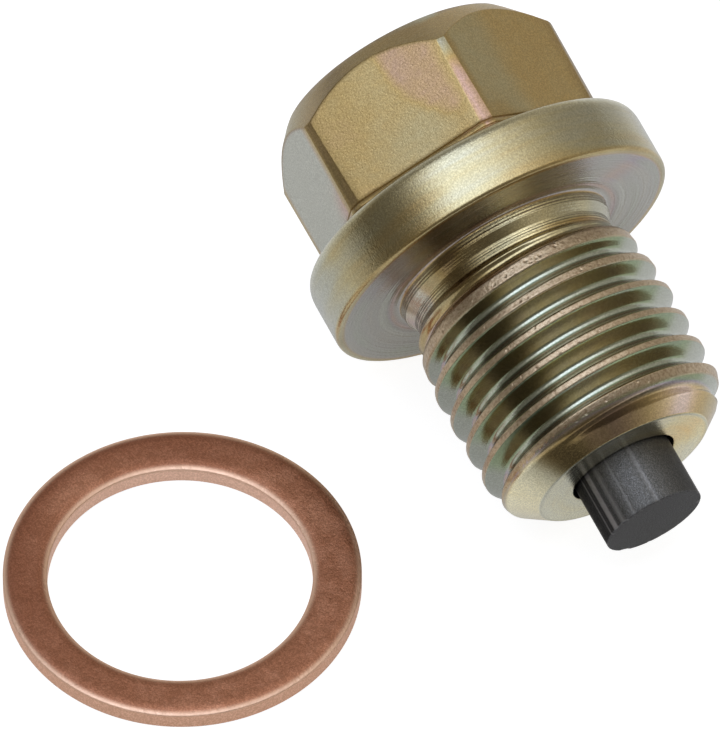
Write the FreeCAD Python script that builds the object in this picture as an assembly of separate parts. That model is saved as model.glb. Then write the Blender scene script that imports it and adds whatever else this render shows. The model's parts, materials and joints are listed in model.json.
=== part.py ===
import FreeCAD, Part
import math
import os

# An oil drain plug with a magnet in its tip, and its copper sealing washer.
# The plug lies on a bench on its flange's rim and on the last full crest of its thread.
# The washer has been taken off the plug, and lies flat beside it.
# Lengths are in millimetres and angles in degrees.
# The plug is modelled upright along its own axis: s = 0 is the seal face, and s grows towards the tip.
# An angle round the plug is counted from its uppermost side, right-handed about the way to the tip.

# Hexagon head, for a 13 mm spanner
ACROSS_FLATS = 12.75
CORNER_DIAMETER = 14.3
HEX_HEIGHT = 7.0
END_FACE_DIAMETER = 11.4
END_CHAMFER_ANGLE = 50.0
CORNER_TURN = -0.7
FOOT_HEIGHT = 0.6
FOOT_STEP = 0.1

# Flange
FLANGE_DIAMETER = 16.85
FLANGE_THICKNESS = 3.0
RIM_FRONT_RADIUS = 0.27
RIM_BACK_RADIUS = 0.72

# Neck between the seal face and the thread, with a low collar beside the seal face
COLLAR_DIAMETER = 10.5
COLLAR_LENGTH = 0.55
COLLAR_TAPER = 0.4
NECK_FILLET = 0.15
NECK_DIAMETER = 9.9
NECK_LENGTH = 1.45

# M12 x 1.5 thread, rolled: its crests are low over the run-in and at the tip
THREAD_PITCH = 1.5
CREST_DIAMETER = 11.66
ROOT_DIAMETER = 10.1
CREST_LAND = 0.28
FLANK_ANGLE = 30.0
CREST_AT_TOP = 5.64
RUN_IN_LENGTH = 0.75
RUN_IN_DIAMETER = 11.0
RUN_IN_TAPER = 2.4
LEAD_TAPER = 1.0
LEAD_DIAMETER = 10.9

# Tip
SHANK_LENGTH = 11.55
TIP_FACE_DIAMETER = 8.5
TIP_CHAMFER = 0.95

# Magnet, and the flat-bottomed hole that it sits in
MAGNET_DIAMETER = 4.76
MAGNET_LENGTH = 8.0
MAGNET_STANDS_OUT = 2.9
MAGNET_EDGE = 0.08
MAGNET_CLEARANCE = 0.17

# Copper sealing washer, and where it lies, measured from the middle of the seal face
# Punching has drawn the edges of its upper face down into shallow round shoulders.
WASHER_BORE = 11.95
WASHER_OUTSIDE = 16.15
WASHER_THICKNESS = 0.95
WASHER_SHOULDER_WIDTH = 0.6
WASHER_SHOULDER_DROP = 0.13
WASHER_EDGE = 0.08
WASHER_PUNCH_OFFSET = (0.03, -0.13)
WASHER_AHEAD = 3.87
WASHER_ASIDE = -18.62

# Sizes that follow from those above
CREST_R = CREST_DIAMETER / 2
ROOT_R = ROOT_DIAMETER / 2
FLANGE_R = FLANGE_DIAMETER / 2
CORNER_R = CORNER_DIAMETER / 2
FLANGE_BACK = -FLANGE_THICKNESS
HEAD_END = FLANGE_BACK - HEX_HEIGHT
THREAD_START = NECK_LENGTH + RUN_IN_LENGTH
CHAMFER_START = SHANK_LENGTH - TIP_CHAMFER
LEAD_START = CHAMFER_START - LEAD_TAPER
BORE_RADIUS = MAGNET_DIAMETER / 2 + MAGNET_CLEARANCE
BORE_DEPTH = MAGNET_LENGTH - MAGNET_STANDS_OUT
OVERRUN = 1.0

UP_AXIS = FreeCAD.Vector(0, 0, 1)
ORIGIN = FreeCAD.Vector(0, 0, 0)


def point(radius, height):
    """A point of a turned outline, at this radius and this height along the axis."""
    return FreeCAD.Vector(radius, 0, height)


def turned(edges):
    """The solid that a closed outline of edges makes when it is turned about the axis."""
    return Part.Face(Part.Wire(edges)).revolve(ORIGIN, UP_AXIS, 360)


def outline(points):
    """Straight edges through the points, closed at the end."""
    closed = points + [points[0]]
    return [Part.makeLine(a, b) for a, b in zip(closed, closed[1:])]


def quarter(centre_r, centre_s, radius, first, last):
    """An arc of a turned outline, from the first to the last angle, counted from outwards."""
    spots = []
    for angle in (first, (first + last) / 2, last):
        turn = math.radians(angle)
        spots.append(point(centre_r + radius * math.cos(turn), centre_s + radius * math.sin(turn)))
    return Part.Arc(*spots).toShape()


def hex_prism(across_flats, low, high):
    """A hexagonal prism between two heights, with a corner on the X axis."""
    corner_r = across_flats / math.sqrt(3)
    corners = []
    for n in range(6):
        turn = math.radians(60 * n)
        corners.append(FreeCAD.Vector(corner_r * math.cos(turn), corner_r * math.sin(turn), low))
    face = Part.Face(Part.Wire(outline(corners)))
    return face.extrude(FreeCAD.Vector(0, 0, high - low))


def head():
    """The hexagon head: its corners are turned off, its end is chamfered, and its foot is a little wider."""
    foot_top = FLANGE_BACK - FOOT_HEIGHT
    sunk = FLANGE_BACK + FLANGE_THICKNESS / 2
    flats = hex_prism(ACROSS_FLATS, HEAD_END, sunk)
    foot = hex_prism(ACROSS_FLATS + 2 * FOOT_STEP, foot_top, sunk)
    end_r = END_FACE_DIAMETER / 2
    chamfer_depth = (CORNER_R - end_r) * math.tan(math.radians(END_CHAMFER_ANGLE))
    blank = turned(outline([
        point(0, HEAD_END),
        point(end_r, HEAD_END),
        point(CORNER_R, HEAD_END + chamfer_depth),
        point(CORNER_R, sunk),
        point(0, sunk),
    ]))
    body = flats.fuse(foot).common(blank)
    body.rotate(ORIGIN, UP_AXIS, CORNER_TURN)
    return body


def flange():
    """The round flange, with a softer edge at its back than at the seal face."""
    front_r = FLANGE_R - RIM_FRONT_RADIUS
    back_r = FLANGE_R - RIM_BACK_RADIUS
    return turned([
        Part.makeLine(point(0, FLANGE_BACK), point(back_r, FLANGE_BACK)),
        quarter(back_r, FLANGE_BACK + RIM_BACK_RADIUS, RIM_BACK_RADIUS, -90, 0),
        Part.makeLine(point(FLANGE_R, FLANGE_BACK + RIM_BACK_RADIUS), point(FLANGE_R, -RIM_FRONT_RADIUS)),
        quarter(front_r, -RIM_FRONT_RADIUS, RIM_FRONT_RADIUS, 0, 90),
        Part.makeLine(point(front_r, 0), point(0, 0)),
        Part.makeLine(point(0, 0), point(0, FLANGE_BACK)),
    ])


def shank_blank():
    """The neck and the shank before the thread's groove is cut into it."""
    sunk = -FLANGE_THICKNESS / 2
    neck_r = NECK_DIAMETER / 2
    collar_r = COLLAR_DIAMETER / 2
    fillet_r = collar_r + NECK_FILLET
    straight = [
        point(collar_r, NECK_FILLET),
        point(collar_r, COLLAR_LENGTH),
        point(neck_r, COLLAR_LENGTH + COLLAR_TAPER),
        point(neck_r, NECK_LENGTH),
        point(RUN_IN_DIAMETER / 2, THREAD_START),
        point(CREST_R, THREAD_START + RUN_IN_TAPER),
        point(CREST_R, LEAD_START),
        point(LEAD_DIAMETER / 2, CHAMFER_START),
        point(TIP_FACE_DIAMETER / 2, SHANK_LENGTH),
        point(0, SHANK_LENGTH),
        point(0, sunk),
        point(fillet_r, sunk),
        point(fillet_r, 0),
    ]
    edges = [Part.makeLine(a, b) for a, b in zip(straight, straight[1:])]
    edges.append(quarter(fillet_r, NECK_FILLET, NECK_FILLET, -90, -180))
    return turned(edges)


def groove():
    """The thread's groove: a V with a round root, wound past both ends of the thread."""
    slope = math.tan(math.radians(FLANK_ANGLE))
    half_mouth = (THREAD_PITCH - CREST_LAND) / 2
    apex_r = CREST_R - half_mouth / slope
    root_radius = (ROOT_R - apex_r) / (1 / math.sin(math.radians(FLANK_ANGLE)) - 1)
    centre_r = ROOT_R + root_radius
    touch_r = centre_r - root_radius * math.sin(math.radians(FLANK_ANGLE))
    touch_s = root_radius * math.cos(math.radians(FLANK_ANGLE))
    mouth_r = CREST_R + OVERRUN / 2
    mouth_s = (mouth_r - apex_r) * slope
    profile = Part.Wire([
        Part.makeLine(point(mouth_r, mouth_s), point(touch_r, touch_s)),
        Part.Arc(point(touch_r, touch_s), point(ROOT_R, 0), point(touch_r, -touch_s)).toShape(),
        Part.makeLine(point(touch_r, -touch_s), point(mouth_r, -mouth_s)),
        Part.makeLine(point(mouth_r, -mouth_s), point(mouth_r, mouth_s)),
    ])
    start = NECK_LENGTH
    helix = Part.makeLongHelix(THREAD_PITCH, SHANK_LENGTH + OVERRUN - start, ROOT_R, 0, False)
    sweep = Part.Wire(helix.Edges).makePipeShell([profile], True, True)
    sweep.translate(FreeCAD.Vector(0, 0, start))
    groove_at_top = CREST_AT_TOP - THREAD_PITCH / 2
    sweep.rotate(ORIGIN, UP_AXIS, 360 * (start - groove_at_top) / THREAD_PITCH)
    return sweep


def magnet_hole():
    """The flat-bottomed hole in the tip."""
    floor = FreeCAD.Vector(0, 0, SHANK_LENGTH - BORE_DEPTH)
    return Part.makeCylinder(BORE_RADIUS, BORE_DEPTH + OVERRUN, floor, UP_AXIS)


def plug_body():
    """The whole steel plug, from one bar: head, flange, neck and threaded shank."""
    shank = shank_blank().cut(groove())
    body = flange().fuse([head(), shank]).removeSplitter()
    return body.cut(magnet_hole())


def magnet():
    """The magnet, seated on the bottom of its hole."""
    low = SHANK_LENGTH - BORE_DEPTH
    high = low + MAGNET_LENGTH
    radius = MAGNET_DIAMETER / 2
    return turned(outline([
        point(0, low),
        point(radius - MAGNET_EDGE, low),
        point(radius, low + MAGNET_EDGE),
        point(radius, high - MAGNET_EDGE),
        point(radius - MAGNET_EDGE, high),
        point(0, high),
    ]))


def shoulder(edge_r, side):
    """The arc from a wall of the washer up to its flat top. Side is 1 for the hole and -1 for the outside."""
    radius = (WASHER_SHOULDER_WIDTH ** 2 + WASHER_SHOULDER_DROP ** 2) / (2 * WASHER_SHOULDER_DROP)
    flat_r = edge_r + side * WASHER_SHOULDER_WIDTH
    turn = math.asin(WASHER_SHOULDER_WIDTH / radius) / 2
    middle = point(flat_r - side * radius * math.sin(turn), WASHER_THICKNESS - radius * (1 - math.cos(turn)))
    low = point(edge_r, WASHER_THICKNESS - WASHER_SHOULDER_DROP)
    return Part.Arc(low, middle, point(flat_r, WASHER_THICKNESS)).toShape()


def washer_wall(edge_r, side, axis_r, top):
    """The solid inside one wall of the washer, with that wall's shoulder and its broken lower edge."""
    low = [point(edge_r, WASHER_THICKNESS - WASHER_SHOULDER_DROP), point(edge_r, WASHER_EDGE),
           point(edge_r + side * WASHER_EDGE, 0)]
    flat_r = edge_r + side * WASHER_SHOULDER_WIDTH
    rest = low + [point(edge_r + side * WASHER_EDGE, WASHER_THICKNESS - top), point(axis_r, WASHER_THICKNESS - top),
                  point(axis_r, top), point(flat_r, top)]
    if top > WASHER_THICKNESS:
        rest.append(point(flat_r, WASHER_THICKNESS))
    edges = [Part.makeLine(a, b) for a, b in zip(rest, rest[1:]) if not a.isEqual(b, 1e-9)]
    return turned(edges + [shoulder(edge_r, side)])


def sealing_washer():
    """The copper washer, flat on z = 0, with its hole punched a little off its middle."""
    outside = washer_wall(WASHER_OUTSIDE / 2, -1, 0, WASHER_THICKNESS)
    hole = washer_wall(WASHER_BORE / 2, 1, 0, WASHER_THICKNESS + OVERRUN)
    hole.translate(FreeCAD.Vector(WASHER_PUNCH_OFFSET[0], WASHER_PUNCH_OFFSET[1], 0))
    return outside.cut(hole)


def last_crest():
    """Where the plug's underside meets the bench: the far edge of the last full crest there."""
    crest_below = CREST_AT_TOP + THREAD_PITCH / 2
    turns = math.floor((LEAD_START - crest_below) / THREAD_PITCH)
    return min(crest_below + turns * THREAD_PITCH + CREST_LAND / 2, LEAD_START)


def lie_down(shape):
    """Lay the upright plug on the bench, on its flange's rim and its last full crest."""
    along = last_crest() + RIM_FRONT_RADIUS
    across = FLANGE_R - RIM_FRONT_RADIUS - CREST_R
    tilt = math.asin(RIM_FRONT_RADIUS / math.hypot(along, across)) + math.atan2(across, along)
    sine, cosine = math.sin(tilt), math.cos(tilt)
    height = (FLANGE_R - RIM_FRONT_RADIUS) * cosine + RIM_FRONT_RADIUS * (1 - sine)
    shape.Placement = FreeCAD.Placement(FreeCAD.Matrix(
        sine, 0, cosine, 0,
        0, -1, 0, 0,
        cosine, 0, -sine, height,
        0, 0, 0, 1,
    )).multiply(shape.Placement)
    return shape


def place_washer(shape):
    """Lay the washer beside the plug."""
    shape.translate(FreeCAD.Vector(WASHER_AHEAD, WASHER_ASIDE, 0))
    return shape


def centre_on_origin(shapes):
    """Move everything together until the origin is below the middle of the whole."""
    boxes = [shape.optimalBoundingBox(False) for shape in shapes]
    middle_x = (min(box.XMin for box in boxes) + max(box.XMax for box in boxes)) / 2
    middle_y = (min(box.YMin for box in boxes) + max(box.YMax for box in boxes)) / 2
    for shape in shapes:
        shape.translate(FreeCAD.Vector(-middle_x, -middle_y, 0))


def build():
    """All the pieces by name, in their places."""
    pieces = {
        "plug_body": lie_down(plug_body()),
        "magnet": lie_down(magnet()),
        "sealing_washer": place_washer(sealing_washer()),
    }
    centre_on_origin(list(pieces.values()))
    return pieces


os.makedirs("parts", exist_ok=True)
for name, piece in build().items():
    piece.exportStep(os.path.join("parts", name + ".step"))
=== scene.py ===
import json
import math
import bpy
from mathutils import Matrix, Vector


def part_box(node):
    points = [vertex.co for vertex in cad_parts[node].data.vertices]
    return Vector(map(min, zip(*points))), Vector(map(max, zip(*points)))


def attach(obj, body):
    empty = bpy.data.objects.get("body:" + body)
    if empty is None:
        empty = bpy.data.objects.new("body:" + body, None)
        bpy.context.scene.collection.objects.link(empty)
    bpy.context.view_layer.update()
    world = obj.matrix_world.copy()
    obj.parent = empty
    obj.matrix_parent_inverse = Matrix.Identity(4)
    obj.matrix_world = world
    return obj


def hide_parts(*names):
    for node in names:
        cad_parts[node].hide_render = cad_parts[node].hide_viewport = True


bl_info = {
    "name": "Oil Drain Plug",
    "version": (1, 0, 0),
    "blender": (4, 5, 0),
    "location": "View3D > Sidebar > Drain Plug",
    "description": "Dresses a magnetic drain plug and its copper sealing washer, and sets the stage for them",
    "category": "Object",
}

import bmesh
import bpy
import numpy as np
from bpy.props import FloatProperty, IntProperty, PointerProperty
from mathutils import Matrix, Vector, noise

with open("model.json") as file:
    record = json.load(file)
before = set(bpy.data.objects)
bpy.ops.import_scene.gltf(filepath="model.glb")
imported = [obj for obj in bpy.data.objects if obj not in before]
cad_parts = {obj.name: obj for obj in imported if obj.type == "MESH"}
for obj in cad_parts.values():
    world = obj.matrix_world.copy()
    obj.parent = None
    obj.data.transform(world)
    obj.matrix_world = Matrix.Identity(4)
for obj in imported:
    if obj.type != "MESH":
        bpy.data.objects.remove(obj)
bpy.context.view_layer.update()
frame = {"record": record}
MOUNTS = {mount["name"]: mount for mount in frame["record"]["mounts"]}

MM = 0.001
TAU = 2 * math.pi


# The sizes that a user may change

def length(title, description, millimetres):
    """A length that the panel shows, stored in metres."""
    return FloatProperty(name=title, description=description, default=millimetres * MM,
                         unit="LENGTH", precision=5)


def angle_setting(title, description, degrees):
    """An angle that the panel shows in degrees."""
    return FloatProperty(name=title, description=description, default=math.radians(degrees),
                         subtype="ANGLE")


class DrainPlugSteel(bpy.types.PropertyGroup):
    """Sizes of the steel plug, measured along its axis from the seal face."""

    across_flats: length("Across flats", "Width of the hexagon", 12.75)
    corner_diameter: length("Corner diameter", "Circle that cuts the hexagon's corners", 14.3)
    hex_height: length("Hexagon height", "From the flange to the head's end", 7.0)
    end_face: length("End face", "Diameter of the flat end of the head", 11.4)
    end_slope: angle_setting("End chamfer", "Steepness of the head's chamfer", 50)
    corner_turn: angle_setting("Corner turn", "Where the top corner stands", -0.7)
    foot_height: length("Foot height", "Band below the flats, down to the flange", 0.62)
    flange_diameter: length("Flange diameter", "Outside of the flange", 16.85)
    flange_thickness: length("Flange thickness", "From the seal face to the flange's back", 3.0)
    rim_front: length("Front rim radius", "Rounding beside the seal face", 0.27)
    rim_back: length("Back rim radius", "Rounding at the flange's back", 0.72)
    collar_diameter: length("Collar diameter", "Low collar of the neck, beside the seal face", 10.5)
    collar_length: length("Collar length", "From the seal face to the collar's taper", 0.55)
    collar_taper: length("Collar taper", "From the collar down to the neck", 0.4)
    neck_fillet: length("Neck fillet", "Round corner between collar and seal face", 0.15)
    neck_diameter: length("Neck diameter", "Plain neck below the thread", 9.9)
    neck_length: length("Neck length", "From the seal face to the thread's run-in", 1.45)
    pitch: length("Pitch", "Thread pitch", 1.5)
    crest_diameter: length("Crest diameter", "Outside of the thread", 11.66)
    root_diameter: length("Root diameter", "Bottom of the thread's groove", 10.1)
    crest_land: length("Crest land", "Width of a full crest", 0.28)
    crest_at_top: length("Crest at top", "Where a crest crosses the plug's upper side", 5.64)
    run_in_end: length("Run-in end", "End of the steep part of the run-in", 2.2)
    run_in_diameter: length("Run-in diameter", "Crest diameter there", 11.0)
    taper_end: length("Taper end", "Where the crests reach full height", 4.6)
    lead_start: length("Lead start", "Where the crests fall off towards the tip", 9.6)
    chamfer_start: length("Chamfer start", "Where the tip's chamfer begins", 10.6)
    lead_diameter: length("Lead diameter", "Diameter where the tip's chamfer begins", 10.9)
    shank_length: length("Shank length", "From the seal face to the tip's end face", 11.55)
    tip_face: length("Tip face", "Outside diameter of the tip's end face", 8.5)
    hole_diameter: length("Hole diameter", "Magnet's hole", 5.1)
    hole_depth: length("Hole depth", "Magnet's hole", 5.1)
    steps: IntProperty(name="Steps", description="Faces round the plug", default=240, min=60)


class DrainPlugMagnet(bpy.types.PropertyGroup):
    """Sizes of the magnet."""

    diameter: length("Diameter", "Magnet's diameter", 4.76)
    stands_out: length("Stands out", "How far the magnet stands out of the tip", 2.9)
    total: length("Length", "The magnet's whole length", 8.0)
    edge: length("Edge", "Width of its broken edges", 0.08)
    steps: IntProperty(name="Steps", description="Faces round the magnet", default=160, min=24)


class DrainPlugWasher(bpy.types.PropertyGroup):
    """Sizes of the sealing washer."""

    bore: length("Bore", "Diameter of the hole", 11.95)
    outside: length("Outside", "Outside diameter", 16.15)
    thickness: length("Thickness", "Thickness of the ring", 0.95)
    shoulder_width: length("Shoulder width", "Round shoulder that punching leaves beside each wall", 0.6)
    shoulder_drop: length("Shoulder drop", "How far each shoulder falls below the flat top", 0.13)
    edge: length("Edge", "Break of the two lower edges", 0.08)
    steps: IntProperty(name="Steps", description="Faces round the washer", default=360, min=60)


class DrainPlugStage(bpy.types.PropertyGroup):
    """Camera and light."""

    camera_azimuth: angle_setting("Azimuth", "Camera's bearing", 61.0)
    camera_elevation: angle_setting("Elevation", "Camera's height angle", 51.66)
    camera_distance: FloatProperty(name="Distance", description="Camera to seal face",
                                   default=0.7, unit="LENGTH")
    pixels_per_mm: FloatProperty(name="Scale", description="Pixels to a millimetre at the seal face",
                                 default=22.18)
    softbox_level: FloatProperty(name="Softbox", description="Radiance of the lamp overhead", default=2.0)
    wall_mid: FloatProperty(name="Wall", description="Radiance of the wall behind the head", default=0.55)


# Shared helpers for node trees

def plug_in(tree, node, inputs):
    """Links or sets inputs of a node, by name or number."""
    for key, value in inputs.items():
        if isinstance(value, bpy.types.NodeSocket):
            tree.links.new(value, node.inputs[key])
        else:
            node.inputs[key].default_value = value
    return node


def add(tree, kind, inputs=None, **settings):
    """A new node with its settings and its inputs."""
    node = tree.nodes.new(kind)
    for name, value in settings.items():
        setattr(node, name, value)
    return plug_in(tree, node, inputs or {})


def calc(tree, operation, *values):
    """The output of a math node."""
    return add(tree, "ShaderNodeMath", dict(enumerate(values)), operation=operation).outputs[0]


def remap(tree, value, from_low, from_high, to_low, to_high, clamp=True, smooth=False):
    """The output of a map range node."""
    kind = "SMOOTHSTEP" if smooth else "LINEAR"
    inputs = {"Value": value, "From Min": from_low, "From Max": from_high,
              "To Min": to_low, "To Max": to_high}
    return add(tree, "ShaderNodeMapRange", inputs, clamp=clamp, interpolation_type=kind).outputs["Result"]


def node_group(kind, name, inputs, outputs):
    """A node group with its named sockets, and its two end nodes."""
    tree = bpy.data.node_groups.new(name, kind)
    for direction, sockets in (("INPUT", inputs), ("OUTPUT", outputs)):
        for title, holds, *default in sockets:
            made = tree.interface.new_socket(title, in_out=direction, socket_type="NodeSocket" + holds)
            if default:
                made.default_value = default[0]
    return tree, tree.nodes.new("NodeGroupInput"), tree.nodes.new("NodeGroupOutput")


# Geometry Nodes: a profile turned about the Z axis, plain or as a wound thread

def profile_object(name, points):
    """A polyline of (radius, height) points that the trees turn, in the plug's own axes."""
    mesh = bpy.data.meshes.new(name)
    edges = [(k, k + 1) for k in range(len(points) - 1)]
    mesh.from_pydata([(radius, height, 0) for radius, height in points], edges, [])
    made = bpy.data.objects.new(name, mesh)
    bpy.context.scene.collection.objects.link(made)
    return made


def turning_grid(tree, group_in):
    """A grid round the axis. Returns the grid, its angle, and the profile's radius and height."""
    rows = add(tree, "GeometryNodeAttributeDomainSize", {0: group_in.outputs["Profile"]})
    columns = calc(tree, "MULTIPLY_ADD", group_in.outputs["Turns"], group_in.outputs["Steps"], 1)
    grid = add(tree, "GeometryNodeMeshGrid", {"Vertices X": columns,
                                              "Vertices Y": rows.outputs["Point Count"]})
    spot = add(tree, "ShaderNodeSeparateXYZ", {0: add(tree, "GeometryNodeInputPosition").outputs[0]})
    across = calc(tree, "ADD", spot.outputs["X"], 0.5)
    along = calc(tree, "ADD", spot.outputs["Y"], 0.5)
    angle = calc(tree, "MULTIPLY", calc(tree, "MULTIPLY", across, group_in.outputs["Turns"]), TAU)
    last_row = calc(tree, "SUBTRACT", rows.outputs["Point Count"], 1)
    row = calc(tree, "ROUND", calc(tree, "MULTIPLY", along, last_row))
    sample = add(tree, "GeometryNodeSampleIndex",
                 {"Geometry": group_in.outputs["Profile"],
                  "Value": add(tree, "GeometryNodeInputPosition").outputs[0], "Index": row},
                 data_type="FLOAT_VECTOR", domain="POINT")
    taken = add(tree, "ShaderNodeSeparateXYZ", {0: sample.outputs[0]})
    return grid, angle, taken.outputs["X"], taken.outputs["Y"]


def finish_turning(tree, grid, angle, radius, height, group_in, group_out, crest=None):
    """Places the grid's points round the axis, stores where the crest is, and ends the tree."""
    place = add(tree, "ShaderNodeCombineXYZ", {
        "X": calc(tree, "MULTIPLY", radius, calc(tree, "COSINE", angle)),
        "Y": calc(tree, "MULTIPLY", radius, calc(tree, "SINE", angle)),
        "Z": height,
    })
    shape = grid.outputs["Mesh"]
    if crest is not None:
        named = {"Geometry": shape, "Name": "crest", "Value": crest}
        shape = add(tree, "GeometryNodeStoreNamedAttribute", named, data_type="FLOAT",
                    domain="POINT").outputs[0]
    moved = add(tree, "GeometryNodeSetPosition", {"Geometry": shape, "Position": place.outputs[0]})
    merged = add(tree, "GeometryNodeMergeByDistance", {"Geometry": moved.outputs[0], "Distance": 0.002 * MM})
    smooth = add(tree, "GeometryNodeSetShadeSmooth", {"Geometry": merged.outputs[0]})
    real = add(tree, "GeometryNodeRealizeInstances", {"Geometry": smooth.outputs[0]})
    dressed = add(tree, "GeometryNodeSetMaterial",
                  {"Geometry": real.outputs[0], "Material": group_in.outputs["Material"]})
    tree.links.new(dressed.outputs[0], group_out.inputs[0])


def turning_tree(name, extra=()):
    """A tree with the inputs that both kinds of turning share, then its own extra ones."""
    inputs = [("Profile", "Geometry"), ("Steps", "Int", 200), ("Turns", "Int", 1), ("Material", "Material")]
    return node_group("GeometryNodeTree", name, inputs + list(extra), [("Mesh", "Geometry")])


def turned_tree():
    """The tree for a plain turned piece."""
    tree, group_in, group_out = turning_tree("turned_piece")
    grid, angle, radius, height = turning_grid(tree, group_in)
    finish_turning(tree, grid, angle, radius, height, group_in, group_out)
    return tree


# What holds the thread in: corners of the shank's outline, by the settings for their height and diameter
ENVELOPE = (
    ("Neck", "neck_length", "neck_diameter"),
    ("Run-in", "run_in_end", "run_in_diameter"),
    ("Full", "taper_end", "crest_diameter"),
    ("Lead", "lead_start", "crest_diameter"),
    ("Chamfer", "chamfer_start", "lead_diameter"),
    ("Tip", "shank_length", "tip_face"),
)


def thread_tree():
    """The tree for the thread: a profile of one pitch, wound on, and held inside the shank's outline."""
    titles = ["Pitch", "First Crest", "Low End", "High End", "Crest Roughness", "Rounding", "Fade",
              "Rough From", "Rough To", "Line Depth", "Seed"]
    titles += [title + end for title, _, _ in ENVELOPE for end in (" Height", " Radius")]
    tree, group_in, group_out = turning_tree("wound_thread", [(title, "Float") for title in titles])
    given = group_in.outputs
    grid, angle, radius, height = turning_grid(tree, group_in)
    rise = calc(tree, "MULTIPLY", calc(tree, "DIVIDE", angle, TAU), given["Pitch"])
    raw = calc(tree, "ADD", calc(tree, "ADD", given["First Crest"], height), rise)
    held = calc(tree, "MINIMUM", calc(tree, "MAXIMUM", raw, given["Low End"]), given["High End"])
    outline = None
    for (low, _, _), (high, _, _) in zip(ENVELOPE, ENVELOPE[1:]):
        line = remap(tree, held, given[low + " Height"], given[high + " Height"],
                     given[low + " Radius"], given[high + " Radius"], clamp=False)
        outline = line if outline is None else calc(tree, "MINIMUM", outline, line)
    from_low = calc(tree, "SUBTRACT", held, given["Low End"])
    from_high = calc(tree, "SUBTRACT", given["High End"], held)
    inside = calc(tree, "MULTIPLY", remap(tree, from_low, 0.0, given["Fade"], 0.0, 1.0),
                  remap(tree, from_high, 0.0, given["Fade"], 0.0, 1.0))
    shaped = calc(tree, "SMOOTH_MIN", radius, outline, calc(tree, "MULTIPLY", given["Rounding"], inside))
    above = calc(tree, "SUBTRACT", radius, outline)
    cut = remap(tree, above, -0.03 * MM, 0.0, 0.0, 1.0, smooth=True)
    started = remap(tree, calc(tree, "SUBTRACT", held, given["Rough From"]), -0.2 * MM, 0.2 * MM, 0.0, 1.0)
    ended = remap(tree, calc(tree, "SUBTRACT", held, given["Rough To"]), -0.15 * MM, 0.15 * MM, 1.0, 0.0)
    land = calc(tree, "MULTIPLY", calc(tree, "MULTIPLY", cut, started), ended)
    lines = add(tree, "ShaderNodeTexNoise",
                {"W": calc(tree, "DIVIDE", held, 0.11 * MM), "Scale": 1.0, "Detail": 2.0},
                noise_dimensions="1D")
    scored = calc(tree, "MULTIPLY", calc(tree, "SUBTRACT", lines.outputs[0], 0.5), given["Line Depth"])
    early = calc(tree, "MULTIPLY", calc(tree, "SUBTRACT", 1.0, started), inside)
    spot = add(tree, "ShaderNodeCombineXYZ", {
        "X": calc(tree, "COSINE", angle), "Y": calc(tree, "SINE", angle),
        "Z": calc(tree, "MULTIPLY", held, 1 / MM / 4)})
    flecks = add(tree, "ShaderNodeTexNoise", {"Vector": spot.outputs[0], "W": given["Seed"], "Scale": 26.0,
                                              "Detail": 3.0, "Roughness": 0.7}, noise_dimensions="4D")
    bumps = calc(tree, "MULTIPLY", calc(tree, "SUBTRACT", flecks.outputs[0], 0.62), given["Crest Roughness"])
    rough = calc(tree, "MULTIPLY_ADD", scored, early, calc(tree, "MULTIPLY_ADD", bumps, land, shaped))
    finish_turning(tree, grid, angle, rough, held, group_in, group_out, land)
    return tree


def wind(name, points, tree, values, material):
    """Runs a tree on a profile and returns the plain mesh that comes out, in the piece's own axes."""
    profile = profile_object(name, points)
    modifier = profile.modifiers.new(tree.name, "NODES")
    modifier.node_group = tree
    given = {**values, "Material": material}
    for item in tree.interface.items_tree:
        if item.in_out == "INPUT" and item.name in given:
            modifier[item.identifier] = given[item.name]
    evaluated = profile.evaluated_get(bpy.context.evaluated_depsgraph_get())
    mesh = bpy.data.meshes.new_from_object(evaluated)
    profile.modifiers.remove(modifier)
    bpy.data.objects.remove(profile)
    return mesh


def soften(corners, reach, segments=4):
    """Points of an outline with each inner corner rounded over its own reach."""
    corners = [np.array(corner, float) for corner in corners]
    points = [corners[0]]
    for before, corner, after, span in zip(corners, corners[1:], corners[2:], reach):
        if span <= 0:
            points.append(corner)
            continue
        back = before - corner
        ahead = after - corner
        start = corner + back * min(0.5, span / np.linalg.norm(back))
        end = corner + ahead * min(0.5, span / np.linalg.norm(ahead))
        for t in np.linspace(0, 1, segments + 1):
            points.append((1 - t) ** 2 * start + 2 * t * (1 - t) * corner + t ** 2 * end)
    points.append(corners[-1])
    return points


def stretch(first, last, count):
    """Points spaced evenly between two corners, without the first."""
    first, last = np.array(first, float), np.array(last, float)
    return [first + (last - first) * k / count for k in range(1, count + 1)]


# The plug's own axes: X to its uppermost side, Z along its axis to the tip, origin in the seal face

def plug_matrix(steel):
    """Carries the plug's own axes to the frame."""
    along = Vector(MOUNTS["seal_face"]["axis"]).normalized()
    head_end = Vector(MOUNTS["head_end"]["pos_m"])
    middle = head_end + along * (steel.hex_height + steel.flange_thickness)
    up = (Vector((0, 0, 1)) - along * along.z).normalized()
    side = along.cross(up)
    matrix = Matrix.Identity(4)
    for column, axis in enumerate((up, side, along, middle)):
        for row in range(3):
            matrix[row][column] = axis[row]
    return matrix


def washer_matrix():
    """Carries the washer's own axes to the frame: its origin is the middle of its base."""
    low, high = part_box("sealing_washer")
    return Matrix.Translation(((low[0] + high[0]) / 2, (low[1] + high[1]) / 2, low[2]))


# Pieces of the steel plug

# How far a corner strip stands out past its circle at the head's end, and what it loses of that by the foot
STRIP_OUT, STRIP_LOSS = 0.11 * MM, 0.09 * MM
# Where the flats' own rings start, from the head's end
FLATS_START = 1.6 * MM
# How far inside the rim's rounding the head's mesh hands over to the flange, and the thread to the tip
RIM_JOINT = 0.04 * MM
TIP_JOINT = 0.06 * MM


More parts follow.
